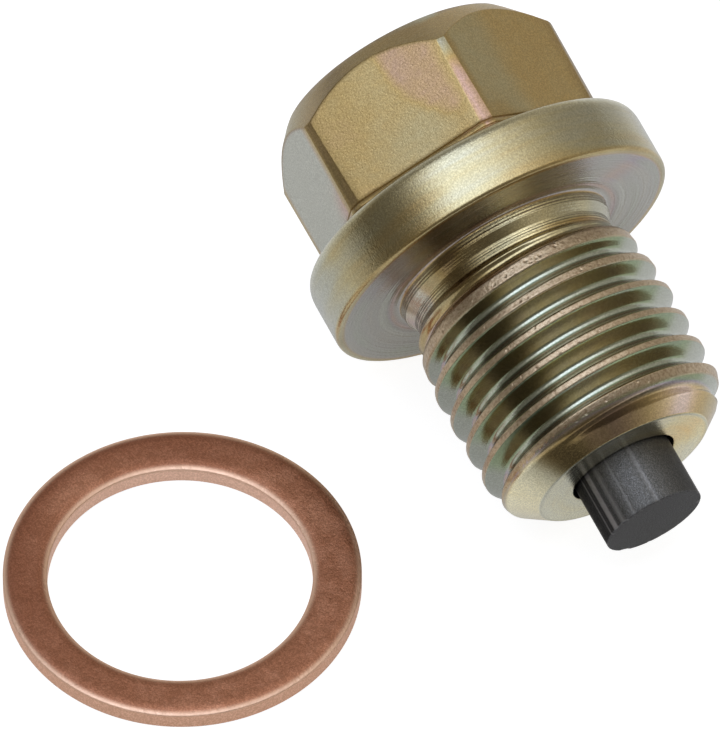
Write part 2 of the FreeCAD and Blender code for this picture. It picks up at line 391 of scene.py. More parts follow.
def corner_reach(steel, height):
    """Radius of the turned corner at a height: the strip on each corner widens towards the flange."""
    end = -steel.flange_thickness - steel.hex_height
    share = np.clip((height - end) / steel.hex_height, 0, 1)
    return steel.corner_diameter / 2 + STRIP_OUT - STRIP_LOSS * share


def snapped_angles(steel, reach):
    """Angles of one of the head's rings, with points on both edges of every corner strip."""
    step = TAU / steel.steps
    even = np.arange(steel.steps) * step
    strip_half = math.pi / 6 - math.acos(steel.across_flats / 2 / reach)
    snapped = even.copy()
    for corner in range(6):
        middle = steel.corner_turn + corner * math.pi / 3
        for side in (-1, 1):
            edge = middle + side * strip_half
            fixed = middle + side * 2 * step
            nearest = np.argsort(np.abs((even - fixed + math.pi) % TAU - math.pi))[:3]
            order = sorted(nearest, key=lambda k: (even[k] - fixed + math.pi) % TAU - math.pi)
            for k, shift in zip(order, (-0.16 * step, 0.0, 0.16 * step)):
                base = (even[k] - edge + math.pi) % TAU - math.pi
                snapped[k] = even[k] - base + shift
    return snapped


def hexagon_radius(angles, half_flats, corner_radius, turn, blend):
    """Radius of the hexagon with its corners turned off, with a small blend where the two meet."""
    from_flat = (angles - turn) % (math.pi / 3) - math.pi / 6
    flat = half_flats / np.cos(from_flat)
    lowest = np.minimum(flat, corner_radius)
    gap = np.abs(flat - corner_radius)
    return lowest - blend * np.maximum(0, 1 - gap / (4 * blend)) ** 2


def head_rings(steel):
    """Rings of (radius, height, angle) rows from the middle of the head's end to the flange's back."""
    even = np.arange(steel.steps) * TAU / steel.steps
    end_r = steel.end_face / 2
    back = -steel.flange_thickness
    end = back - steel.hex_height
    foot = back - steel.foot_height
    chamfer = math.tan(steel.end_slope)
    rings = []

    def ring(radius, height, angles):
        rings.append((np.broadcast_to(radius, angles.shape), np.broadcast_to(height, angles.shape), angles))

    def side_at(height):
        reach = corner_reach(steel, height)
        angles = snapped_angles(steel, reach)
        return hexagon_radius(angles, steel.across_flats / 2, reach, steel.corner_turn, 0.003 * MM), angles

    upper, angles = side_at(end + FLATS_START)
    shoulder = end + (upper - end_r) * chamfer
    slope_r, slope_s = math.cos(steel.end_slope), math.sin(steel.end_slope)
    soft = 0.045 * MM
    for share in (0.12, 0.3, 0.5, 0.7, 0.85, 0.95):
        ring(end_r * share, end, angles)
    for back_off, drop in ((0.12, 0.0), (0.05, 0.006), (0.0, 0.03)):
        ring(end_r - back_off * MM, end + drop * MM, angles)
    for share in (0.25, 0.5, 0.75):
        ring(end_r + (upper - end_r) * share, end + (shoulder - end) * share, angles)
    ring(upper - slope_r * soft, shoulder - slope_s * soft, angles)
    ring(upper - 0.2 * slope_r * soft, shoulder - 0.1 * soft, angles)
    ring(upper, shoulder + soft, angles)
    flat_end = foot - 0.1 * MM
    for share in (0.012, 0.024, 0.06, 0.12, 0.2, 0.3, 0.4, 0.5, 0.6, 0.7, 0.8, 0.9, 0.96, 1.0):
        height = end + FLATS_START + (flat_end - end - FLATS_START) * share
        side, angles = side_at(height)
        ring(side, shoulder + soft + (flat_end - shoulder - soft) * share, angles)
    for off, rise in ((-0.012, -0.085), (-0.06, -0.05), (-0.062, -0.03), (-0.01, 0.0), (0.012, 0.03),
                      (0.03, 0.16), (0.028, 0.19), (-0.02, 0.215), (-0.02, 0.235), (0.04, 0.27)):
        ring(side + off * MM, foot + rise * MM, angles)
    fillet = 0.33 * MM
    base = side + 0.04 * MM
    for turn in np.radians((4, 20, 38, 56, 73, 90)):
        ring(base + fillet * (1 - math.cos(turn)), back - fillet * (1 - math.sin(turn)), angles)
    joint = steel.flange_diameter / 2 - steel.rim_back - RIM_JOINT
    for share in (0.5, 1.0):
        mix = angles + (even - angles) * share
        ring((base + fillet) * (1 - share) + joint * share, back, mix)
    return rings


def head_mesh(steel):
    """The head as a mesh in the plug's own axes, open where it meets the flange."""
    rings = head_rings(steel)
    count = steel.steps
    verts = [(0, 0, float(rings[0][1][0]))]
    for radius, height, angles in rings:
        verts += list(zip(radius * np.cos(angles), radius * np.sin(angles), height))
    faces = [(0, 1 + (k + 1) % count, 1 + k) for k in range(count)]
    for level in range(len(rings) - 1):
        first = 1 + level * count
        for k in range(count):
            after = (k + 1) % count
            faces.append((first + k, first + after, first + count + after, first + count + k))
    mesh = bpy.data.meshes.new("head")
    mesh.from_pydata([tuple(map(float, v)) for v in verts], [], faces)
    return mesh


def turned_marks(points, seed, depth, spacing):
    """Fine marks of the turning tool across a stretch of outline, pressed in square to it."""
    draw = np.random.default_rng(seed)
    first, last = points[0], points[-1]
    along = (last - first) / np.linalg.norm(last - first)
    square = np.array((-along[1], along[0]))
    travel = np.array([np.linalg.norm(point - first) for point in points])
    waves = np.zeros(len(points))
    for share, size in ((1.0, 0.45), (0.43, 0.35), (0.21, 0.2)):
        waves += size * np.sin(TAU * travel / (spacing / share) + draw.uniform(0, TAU))
    waves += 0.5 * draw.normal(size=len(points))
    ease = np.clip(np.minimum(travel, travel[-1] - travel) / (2 * spacing), 0, 1)
    return [point + square * depth * wave * part for point, wave, part in zip(points, waves, ease)]


def flange_profile(steel):
    """Outline of flange, seal face and neck, from the head to the thread's low end."""
    back = -steel.flange_thickness
    rim = steel.flange_diameter / 2
    neck = steel.neck_diameter / 2
    collar = steel.collar_diameter / 2
    inner = collar + steel.neck_fillet
    joint = rim - steel.rim_back - RIM_JOINT
    body = soften([(joint, back), (rim, back), (rim, 0), (rim - steel.rim_front * 1.6, 0)],
                  (steel.rim_back, steel.rim_front), segments=7)
    face_start = np.array((rim - steel.rim_front * 1.6, 0.0))
    face_end = np.array((inner, 0.0))
    face = turned_marks([face_start] + stretch(face_start, face_end, 76), 3, 0.008 * MM, 0.19 * MM)
    face = [point + np.array((0, groove_step(point[0] - inner))) for point in face]
    fillet = [np.array((inner - steel.neck_fillet * math.sin(t), steel.neck_fillet * (1 - math.cos(t))))
              for t in np.radians((22, 45, 68, 84))]
    tapered = steel.collar_length + steel.collar_taper
    corners = [(collar, steel.neck_fillet), (collar - 0.03 * MM, steel.collar_length),
               (neck + 0.02 * MM, tapered), (neck, steel.neck_length)]
    sleeve = []
    for seed, (low, high) in enumerate(zip(corners, corners[1:])):
        low, high = np.array(low), np.array(high)
        count = max(4, round(float(np.linalg.norm(high - low)) / (0.03 * MM)))
        sleeve += turned_marks([low] + stretch(low, high, count), 5 + seed, 0.011 * MM, 0.13 * MM)[1:]
    return body + face[1:] + fillet + sleeve


def groove_step(away):
    """A few deeper grooves in the seal face, close to the neck."""
    rise = 0.0
    for middle, width, depth in ((0.32, 0.05, 0.018), (0.58, 0.07, -0.012), (0.86, 0.05, 0.010)):
        rise -= depth * MM * math.exp(-((away / MM - middle) / width) ** 2)
    return rise


def thread_high(steel):
    """Where the wound thread hands over to the tip."""
    return steel.shank_length - TIP_JOINT


def tip_outlines(steel):
    """Outlines of the tip's end face with its rounded edges, and of the magnet's hole."""
    slope = (steel.lead_diameter - steel.tip_face) / 2 / (steel.shank_length - steel.chamfer_start)
    high = thread_high(steel)
    end = steel.shank_length
    face_r, hole = steel.tip_face / 2, steel.hole_diameter / 2
    start = (face_r + (end - high) * slope, high)
    floor = end - steel.hole_depth
    edge = soften([start, (face_r, end), (hole, end), (hole, floor), (0, floor)],
                  (0.05 * MM, 0.08 * MM, 0.0), segments=4)
    # Numbers of the points where the end face starts and ends, and where the hole's wall starts
    first, last, mouth = 5, 6, 10
    face = turned_marks([edge[first]] + stretch(edge[first], edge[last], 22), 11, 0.003 * MM, 0.14 * MM)
    return edge[:first + 1] + face[1:] + edge[last + 1:mouth + 1], edge[mouth:]


def groove_profile(steel):
    """One pitch of the thread, from the middle of a crest to the middle of the next."""
    slope = math.tan(math.radians(30))
    half_land = steel.crest_land / 2
    crest = steel.crest_diameter / 2
    root = steel.root_diameter / 2
    middle = steel.pitch / 2
    apex = crest - (middle - half_land) / slope
    bend = (root - apex) / (1 / math.sin(math.radians(30)) - 1)
    touch_r = apex + 1.5 * bend
    touch_s = bend * math.cos(math.radians(30))
    half = [(crest, 0.0), (crest, half_land * 0.55), (crest - 0.006 * MM, half_land * 0.92)]
    for share in (0.06, 0.25, 0.5, 0.75, 1.0):
        half.append((crest + (touch_r - crest) * share,
                     half_land + (middle - touch_s - half_land) * share))
    for angle in np.radians((40, 20, 0)):
        half.append((root + bend * (1 - math.cos(angle)), middle - bend * math.sin(angle)))
    mirrored = [(radius, steel.pitch - height) for radius, height in reversed(half[:-1])]
    return half + mirrored


def thread_values(steel):
    """Inputs of the thread's tree."""
    low, high = steel.neck_length, thread_high(steel)
    below = math.ceil((steel.crest_at_top - low) / steel.pitch) + 1
    first = steel.crest_at_top - below * steel.pitch
    values = {
        "Steps": steel.steps, "Turns": math.ceil((high - first) / steel.pitch) + 1,
        "Pitch": steel.pitch, "First Crest": first, "Low End": low, "High End": high,
        "Crest Roughness": 0.035 * MM, "Rounding": 0.03 * MM, "Fade": 0.3 * MM, "Line Depth": 0.03 * MM,
        "Rough From": 2.05 * MM, "Rough To": 10.35 * MM, "Seed": 7.0,
    }
    for title, height, diameter in ENVELOPE:
        values[title + " Height"] = getattr(steel, height)
        values[title + " Radius"] = getattr(steel, diameter) / 2
    return values


def join_meshes(name, parts, matrix):
    """One closed mesh from several that meet edge to edge. Each part keeps its own material."""
    body = bmesh.new()
    crest = body.verts.layers.float.new("crest")
    materials = []
    for mesh, material in parts:
        if material not in materials:
            materials.append(material)
        index = materials.index(material)
        points = np.zeros(len(mesh.vertices) * 3)
        mesh.vertices.foreach_get("co", points)
        made = [body.verts.new(co) for co in points.reshape(-1, 3)]
        if "crest" in mesh.attributes:
            for vert, item in zip(made, mesh.attributes["crest"].data):
                vert[crest] = item.value
        for polygon in mesh.polygons:
            face = body.faces.new([made[k] for k in polygon.vertices])
            face.material_index = index
            face.smooth = True
        bpy.data.meshes.remove(mesh)
    bmesh.ops.remove_doubles(body, verts=body.verts, dist=0.003 * MM)
    bmesh.ops.recalc_face_normals(body, faces=body.faces)
    bmesh.ops.transform(body, matrix=matrix, verts=body.verts)
    mesh = bpy.data.meshes.new(name)
    body.to_mesh(mesh)
    body.free()
    for material in materials:
        mesh.materials.append(material)
    piece = bpy.data.objects.new(name, mesh)
    bpy.context.scene.collection.objects.link(piece)
    return piece


def keep_faces_flat(piece):
    """Lets large faces rule the shading, so that flats stay flat beside their small roundings."""
    weighting = piece.modifiers.new("large_faces_rule", "WEIGHTED_NORMAL")
    weighting.mode = "FACE_AREA"
    weighting.weight = 90
    evaluated = piece.evaluated_get(bpy.context.evaluated_depsgraph_get())
    old = piece.data
    shaded = bpy.data.meshes.new_from_object(evaluated)
    piece.modifiers.remove(weighting)
    piece.data = shaded
    shaded.name = piece.name
    bpy.data.meshes.remove(old)


# Materials

def blank_material(name):
    """A material whose tree holds only its output and its shader."""
    material = bpy.data.materials.new(name)
    material.use_nodes = True
    tree = material.node_tree
    tree.nodes.clear()
    shader = add(tree, "ShaderNodeBsdfPrincipled")
    add(tree, "ShaderNodeOutputMaterial", {"Surface": shader.outputs[0]})
    return material, tree, shader


def own_axes(tree, matrix):
    """Object coordinates carried into a piece's own axes, in millimetres."""
    spot = add(tree, "ShaderNodeTexCoord")
    turn = matrix.to_euler("XYZ")
    mapped = add(tree, "ShaderNodeMapping",
                 {"Vector": spot.outputs["Object"], "Location": matrix.translation, "Rotation": turn,
                  "Scale": (MM, MM, MM)}, vector_type="TEXTURE")
    return mapped.outputs[0]


def attribute(tree, name):
    """A number stored on the mesh."""
    return add(tree, "ShaderNodeAttribute", attribute_name=name).outputs["Fac"]


def ramp(tree, value, stops):
    """A colour ramp through (position, colour) stops."""
    node = add(tree, "ShaderNodeValToRGB", {0: value})
    elements = node.color_ramp.elements
    while len(elements) < len(stops):
        elements.new(0.5)
    for element, (position, shade) in zip(elements, stops):
        element.position = position
        element.color = (*shade, 1.0)
    return node.outputs[0]


def blend_colour(tree, share, first, second, kind="MIX"):
    """The colour part of a mix node."""
    shades = [(*shade, 1.0) if isinstance(shade, tuple) else shade for shade in (first, second)]
    return add(tree, "ShaderNodeMix", {0: share, 6: shades[0], 7: shades[1]}, data_type="RGBA",
               blend_type=kind).outputs[2]


def ring_group():
    """Lines that run round the axis: fast along the outline, slow round it."""
    tree, group_in, group_out = node_group(
        "ShaderNodeTree", "tool_lines",
        (("Point", "Vector"), ("Lines", "Float", 6.0), ("Drift", "Float", 1.0), ("Detail", "Float", 3.0)),
        (("Height", "Float"), ("Streaks", "Float")))
    given = group_in.outputs
    parts = add(tree, "ShaderNodeSeparateXYZ", {0: given["Point"]})
    flat = add(tree, "ShaderNodeCombineXYZ", {0: parts.outputs[0], 1: parts.outputs[1]})
    radius = add(tree, "ShaderNodeVectorMath", {0: flat.outputs[0]}, operation="LENGTH").outputs["Value"]
    outline = calc(tree, "ADD", parts.outputs[2], radius)
    bearing = add(tree, "ShaderNodeVectorMath", {0: flat.outputs[0]}, operation="NORMALIZE").outputs[0]
    slow = add(tree, "ShaderNodeVectorMath", {0: bearing, "Scale": given["Drift"]}, operation="SCALE")
    turned = add(tree, "ShaderNodeSeparateXYZ", {0: slow.outputs[0]})
    fast = calc(tree, "MULTIPLY", outline, given["Lines"])
    place = add(tree, "ShaderNodeCombineXYZ", {0: turned.outputs[0], 1: turned.outputs[1], 2: fast})
    lines = add(tree, "ShaderNodeTexNoise", {"Vector": place.outputs[0], "Scale": 1.0,
                                             "Detail": given["Detail"], "Roughness": 0.62})
    wide = add(tree, "ShaderNodeVectorMath", {0: place.outputs[0], 1: (1.0, 1.0, 0.22)}, operation="MULTIPLY")
    broad = add(tree, "ShaderNodeTexNoise", {"Vector": wide.outputs[0], "Scale": 1.0, "Detail": 2.0})
    streaks = remap(tree, broad.outputs[0], 0.36, 0.64, 0.0, 1.0)
    plug_in(tree, group_out, {"Height": lines.outputs[0], "Streaks": streaks})
    return tree


def speckle_group():
    """Small grains and pits, the same in all directions."""
    tree, group_in, group_out = node_group(
        "ShaderNodeTree", "speckle", (("Point", "Vector"), ("Size", "Float", 10.0), ("Pits", "Float", 0.5)),
        (("Height", "Float"), ("Mask", "Float")))
    given = group_in.outputs
    grains = add(tree, "ShaderNodeTexNoise", {"Vector": given["Point"], "Scale": given["Size"],
                                              "Detail": 4.0, "Roughness": 0.72})
    cells = add(tree, "ShaderNodeTexVoronoi", {"Vector": given["Point"],
                                               "Scale": calc(tree, "MULTIPLY", given["Size"], 0.6)})
    pits = remap(tree, cells.outputs["Distance"], 0.05, 0.3, 0.0, 1.0, smooth=True)
    dents = calc(tree, "MULTIPLY", calc(tree, "SUBTRACT", pits, 1.0), given["Pits"])
    mask = remap(tree, grains.outputs[0], 0.42, 0.62, 0.0, 1.0, smooth=True)
    plug_in(tree, group_out, {"Height": calc(tree, "ADD", grains.outputs[0], dents), "Mask": mask})
    return tree


# Base colours by film thickness, from bare zinc through gold, rose and violet to olive
FILM_COLOURS = (
    (0.00, (0.455, 0.46, 0.395)),
    (0.15, (0.47, 0.45, 0.34)),
    (0.30, (0.49, 0.42, 0.24)),
    (0.45, (0.50, 0.355, 0.148)),
    (0.56, (0.50, 0.335, 0.185)),
    (0.66, (0.50, 0.33, 0.28)),
    (0.76, (0.36, 0.27, 0.36)),
    (0.87, (0.285, 0.345, 0.215)),
    (1.00, (0.31, 0.335, 0.165)),
)


def film_group():
    """The thin film's colour, which drifts from place to place, darkened by painted shade and brightened by
    painted highlights.
    """
    tree, group_in, group_out = node_group(
        "ShaderNodeTree", "film_colour",
        (("Point", "Vector"), ("Film", "Float", 0.4), ("Patches", "Float", 0.2),
         ("Patch Size", "Float", 0.35), ("Streaks", "Float", 0.5), ("Streak Share", "Float", 0.1),
         ("Tarnish", "Float", 0.0), ("Silver", "Float", 0.0)),
        (("Color", "Color"),))
    given = group_in.outputs
    patches = add(tree, "ShaderNodeTexNoise", {"Vector": given["Point"], "Scale": given["Patch Size"],
                                               "Detail": 3.0, "Roughness": 0.55, "Distortion": 0.6})
    shift = calc(tree, "MULTIPLY", calc(tree, "SUBTRACT", patches.outputs[0], 0.5), given["Patches"])
    streak = calc(tree, "MULTIPLY", calc(tree, "SUBTRACT", given["Streaks"], 0.5), given["Streak Share"])
    film = calc(tree, "ADD", calc(tree, "MULTIPLY_ADD", shift, 2.0, given["Film"]), streak)
    bare_zinc = FILM_COLOURS[0][1]
    tint = blend_colour(tree, given["Silver"], ramp(tree, film, FILM_COLOURS), bare_zinc)
    # Painted shade darkens the colour, and values below 0 brighten it as a painted highlight
    bright = calc(tree, "SUBTRACT", 1.0, given["Tarnish"])
    level = add(tree, "ShaderNodeVectorMath", {0: tint, "Scale": bright}, operation="SCALE")
    plug_in(tree, group_out, {"Color": level.outputs[0]})
    return tree


def use(tree, group, **inputs):
    """A group node with its inputs, given with underscores for spaces."""
    node = add(tree, "ShaderNodeGroup", node_tree=group)
    return plug_in(tree, node, {key.replace("_", " "): value for key, value in inputs.items()})


def bump(tree, height, distance, under=None):
    """A bump node, stacked on another when one is given."""
    inputs = {"Height": height, "Distance": distance}
    if under is not None:
        inputs["Normal"] = under
    return add(tree, "ShaderNodeBump", inputs).outputs[0]


# Darker and lighter grains: the first three multiply a colour, and the worn crests have tints of their own
COAT_GRAIN = ((0.80, 0.79, 0.77), (1.07, 1.07, 1.06))
COPPER_GRAIN = ((0.78, 0.76, 0.74), (1.10, 1.09, 1.08))
MAGNET_GRAIN = ((0.7, 0.7, 0.7), (1.35, 1.34, 1.32))
CREST_TINTS = ((0.56, 0.44, 0.29), (0.38, 0.27, 0.17))
CREST_ROUGHNESS = 0.32


def zinc_material(name, groups, matrix, lines, drift, line_depth, patches, patch_size, streak_share,
                  roughness, speckle_size, speckle_depth):
    """Steel with a yellow passivated zinc coat."""
    rings, speckle, film = groups
    material, tree, shader = blank_material(name)
    point = own_axes(tree, matrix)
    tool = use(tree, rings, Point=point, Lines=lines, Drift=drift, Detail=3.0)
    grain = use(tree, speckle, Point=point, Size=speckle_size, Pits=0.25)
    crest = attribute(tree, "crest")
    # The coat's colour takes the painted shade and highlights stored on the mesh
    coat = use(tree, film, Point=point, Film=attribute(tree, "film"), Patches=patches, Patch_Size=patch_size,
               Streaks=tool.outputs["Streaks"], Streak_Share=streak_share, Tarnish=attribute(tree, "tarnish"),
               Silver=attribute(tree, "silver"))
    dots = use(tree, speckle, Point=point, Size=13.0, Pits=0.0)
    grainy = blend_colour(tree, dots.outputs["Mask"], *COAT_GRAIN)
    speckled = blend_colour(tree, 1.0, coat.outputs["Color"], grainy, "MULTIPLY")
    crest_tint = blend_colour(tree, grain.outputs["Mask"], *CREST_TINTS)
    tint = blend_colour(tree, crest, speckled, crest_tint)
    smooth_part = remap(tree, grain.outputs["Mask"], 0.0, 1.0, *roughness)
    rough = add(tree, "ShaderNodeMix", {0: crest, 2: smooth_part, 3: CREST_ROUGHNESS}).outputs[0]
    lined = bump(tree, tool.outputs["Height"], line_depth * MM)
    grained = bump(tree, grain.outputs["Height"], speckle_depth * MM, under=lined)
    coarse = use(tree, speckle, Point=point, Size=4.2, Pits=0.6)
    crusted = bump(tree, calc(tree, "MULTIPLY", coarse.outputs["Height"], crest), 0.035 * MM, under=grained)
    plug_in(tree, shader, {"Base Color": tint, "Metallic": 1.0, "Roughness": rough, "Normal": crusted})
    return material


def bore_material(groups, matrix):
    """The magnet's hole, which the coat doesn't reach, near black with painted shade in the recess."""
    rings, _, _ = groups
    material, tree, shader = blank_material("bare_hole")
    point = own_axes(tree, matrix)
    tool = use(tree, rings, Point=point, Lines=5.0, Drift=0.6, Detail=2.0)
    # Near-black tints: painted shade in the recess
    tint = blend_colour(tree, tool.outputs["Streaks"], (0.10, 0.095, 0.085), (0.05, 0.045, 0.04))
    lined = bump(tree, tool.outputs["Height"], 0.01 * MM)
    plug_in(tree, shader, {"Base Color": tint, "Metallic": 1.0, "Roughness": 0.55, "Normal": lined})
    return material


def magnet_material(groups, matrix):
    """Ground and sintered magnet, nearly black, with a painted sheen along the middle of its side."""
    _, speckle, _ = groups
    material, tree, shader = blank_material("sintered_magnet")
    point = own_axes(tree, matrix)
    grain = use(tree, speckle, Point=point, Size=7.0, Pits=0.35)
    fine = use(tree, speckle, Point=point, Size=20.0, Pits=0.3)
    chips = attribute(tree, "chips")
    body = blend_colour(tree, grain.outputs["Mask"], (0.060, 0.058, 0.055), (0.105, 0.102, 0.098))
    specks = blend_colour(tree, fine.outputs["Mask"], body, (0.17, 0.165, 0.16))
    side = attribute(tree, "side")
    # The side's base colour holds a painted sheen: lighter where it is stored, near black on the shaded sides
    sheen_tone = blend_colour(tree, attribute(tree, "rubbed"), (0.012, 0.0115, 0.011), (0.165, 0.160, 0.150))
    flecks = blend_colour(tree, fine.outputs["Mask"], *MAGNET_GRAIN)
    flecked = blend_colour(tree, 1.0, sheen_tone, flecks, "MULTIPLY")
    tint = blend_colour(tree, chips, blend_colour(tree, side, specks, flecked), (0.28, 0.27, 0.26))
    rough = remap(tree, grain.outputs["Mask"], 0.0, 1.0, 0.42, 0.58)
    grained = bump(tree, grain.outputs["Height"], 0.020 * MM)
    pitted = bump(tree, fine.outputs["Height"], 0.010 * MM, under=grained)
    plug_in(tree, shader, {"Base Color": tint, "Metallic": side, "Specular Tint": (0.5, 0.49, 0.48, 1.0),
                           "Specular IOR Level": 0.16, "Roughness": rough, "Normal": pitted})
    return material


def copper_material(groups, matrix):
    """Tumbled copper: brown on its face, brighter on its worn shoulders, paler on its sheared walls."""
    rings, speckle, _ = groups
    material, tree, shader = blank_material("tumbled_copper")
    point = own_axes(tree, matrix)
    patches = use(tree, speckle, Point=point, Size=0.7, Pits=0.1)
    grain = use(tree, speckle, Point=point, Size=4.5, Pits=0.3)
    fine = use(tree, speckle, Point=point, Size=11.0, Pits=0.3)
    rings_cut = use(tree, rings, Point=point, Lines=1.5, Drift=38.0, Detail=2.0)
    edge = attribute(tree, "worn_edge")
    wall = attribute(tree, "sheared")
    worn = blend_colour(tree, patches.outputs["Mask"], (0.455, 0.198, 0.110), (0.56, 0.262, 0.155))
    # Darker brown towards one side of the face
    body = blend_colour(tree, attribute(tree, "patina"), worn, (0.315, 0.122, 0.066))
    grainy = blend_colour(tree, fine.outputs["Mask"], *COPPER_GRAIN)
    mottled = blend_colour(tree, 1.0, body, grainy, "MULTIPLY")
    rubbed = blend_colour(tree, edge, mottled, (0.86, 0.56, 0.39))
    bare = blend_colour(tree, fine.outputs["Mask"], (0.80, 0.53, 0.39), (0.95, 0.67, 0.52))
    rim = blend_colour(tree, fine.outputs["Mask"], (0.70, 0.42, 0.28), (0.87, 0.565, 0.40))
    walls = blend_colour(tree, attribute(tree, "outside"), bare, rim)
    tint = blend_colour(tree, wall, rubbed, walls)
    dull_and_painted_shade = remap(tree, grain.outputs["Mask"], 0.0, 1.0, 0.36, 0.46)
    rough = add(tree, "ShaderNodeMix", {0: wall, 2: dull_and_painted_shade, 3: 0.62}).outputs[0]
    grained = bump(tree, grain.outputs["Height"], 0.016 * MM)
    pitted = bump(tree, fine.outputs["Height"], 0.014 * MM, under=grained)
    striped = bump(tree, calc(tree, "MULTIPLY", rings_cut.outputs["Height"], wall), 0.012 * MM, under=pitted)
    plug_in(tree, shader, {"Base Color": tint, "Metallic": 1.0, "Roughness": rough, "Normal": striped})
    return material


def shared_groups():
    """The three effects that the materials share, built once."""
    names = (("tool_lines", ring_group), ("speckle", speckle_group), ("film_colour", film_group))
    return [bpy.data.node_groups.get(name) or make() for name, make in names]


def store(mesh, name, values):
    """Stores one number for each point of a mesh."""
    layer = mesh.attributes.get(name) or mesh.attributes.new(name, "FLOAT", "POINT")
    layer.data.foreach_set("value", np.asarray(values, np.float32))


def own_points(mesh, matrix):
    """A mesh's points in a piece's own axes, in millimetres."""
    points = np.empty(len(mesh.vertices) * 3)
    mesh.vertices.foreach_get("co", points)
    inverse = np.array(matrix.inverted())
    return (points.reshape(-1, 3) @ inverse[:3, :3].T + inverse[:3, 3]) / MM


def hump(values, middle, reach):
    """A smooth bump of height 1 about a middle value."""
    return np.exp(-((values - middle) / reach) ** 2)


def step(values, first, last):
    """A smooth rise from 0 to 1."""
    share = np.clip((values - first) / (last - first), 0, 1)
    return share * share * (3 - 2 * share)


def fall(values, first, last):
    """A smooth fall from 1 to 0."""
    return 1 - step(values, first, last)


def polar(local):
    """Distance from the axis, and bearing round it in degrees."""
    return np.hypot(local[:, 0], local[:, 1]), np.degrees(np.arctan2(local[:, 1], local[:, 0]))


class Coat:
    """Where the film is thin or thick, where painted shade darkens it and painted highlights brighten it, and
    where bare zinc shows.
    """

    def __init__(self, local):
        self.along = local[:, 2]
        self.radius, self.bearing = polar(local)
        self.film = np.full(len(local), 0.4)
        self.dull_and_painted_shade = np.zeros(len(local))
        self.silver = np.zeros(len(local))

    def lay(self, mask, film, dull_and_painted_shade=0.0, silver=0.0):
        """Lays new values over the old ones as far as the mask says. None leaves the film as it was."""
        for layer, value in ((self.film, film), (self.dull_and_painted_shade, dull_and_painted_shade), (self.silver, silver)):
            if value is not None:
                layer[:] = layer * (1 - mask) + value * mask

    def shade(self, mask, amount):
        """Adds painted shade by an amount, or a painted highlight where that amount is below 0."""
        self.dull_and_painted_shade += amount * mask

    def facing(self, middle, reach):
        """A mask about one bearing."""
        return hump(self.bearing, middle, reach)


def paint_steel(piece, steel, matrix):
    """Paints the coat with its painted shade and highlights, and stores it on the mesh."""
    coat = Coat(own_points(piece.data, matrix))
    for paint in (paint_head, paint_flange, paint_shank):
        paint(coat, steel)
    # Besides the film and the bare zinc, the mesh keeps the painted shade and highlights
    for name, values in (("film", coat.film), ("tarnish", coat.dull_and_painted_shade), ("silver", coat.silver)):
        store(piece.data, name, values)


# Bearings of the head's flats: the one above, its two neighbours and the three below
FLAT_ABOVE, FLAT_RIGHT, FLAT_LEFT = 29.3, -30.7, 89.3
FLATS_BELOW = (-90.7, 149.3, -150.7)


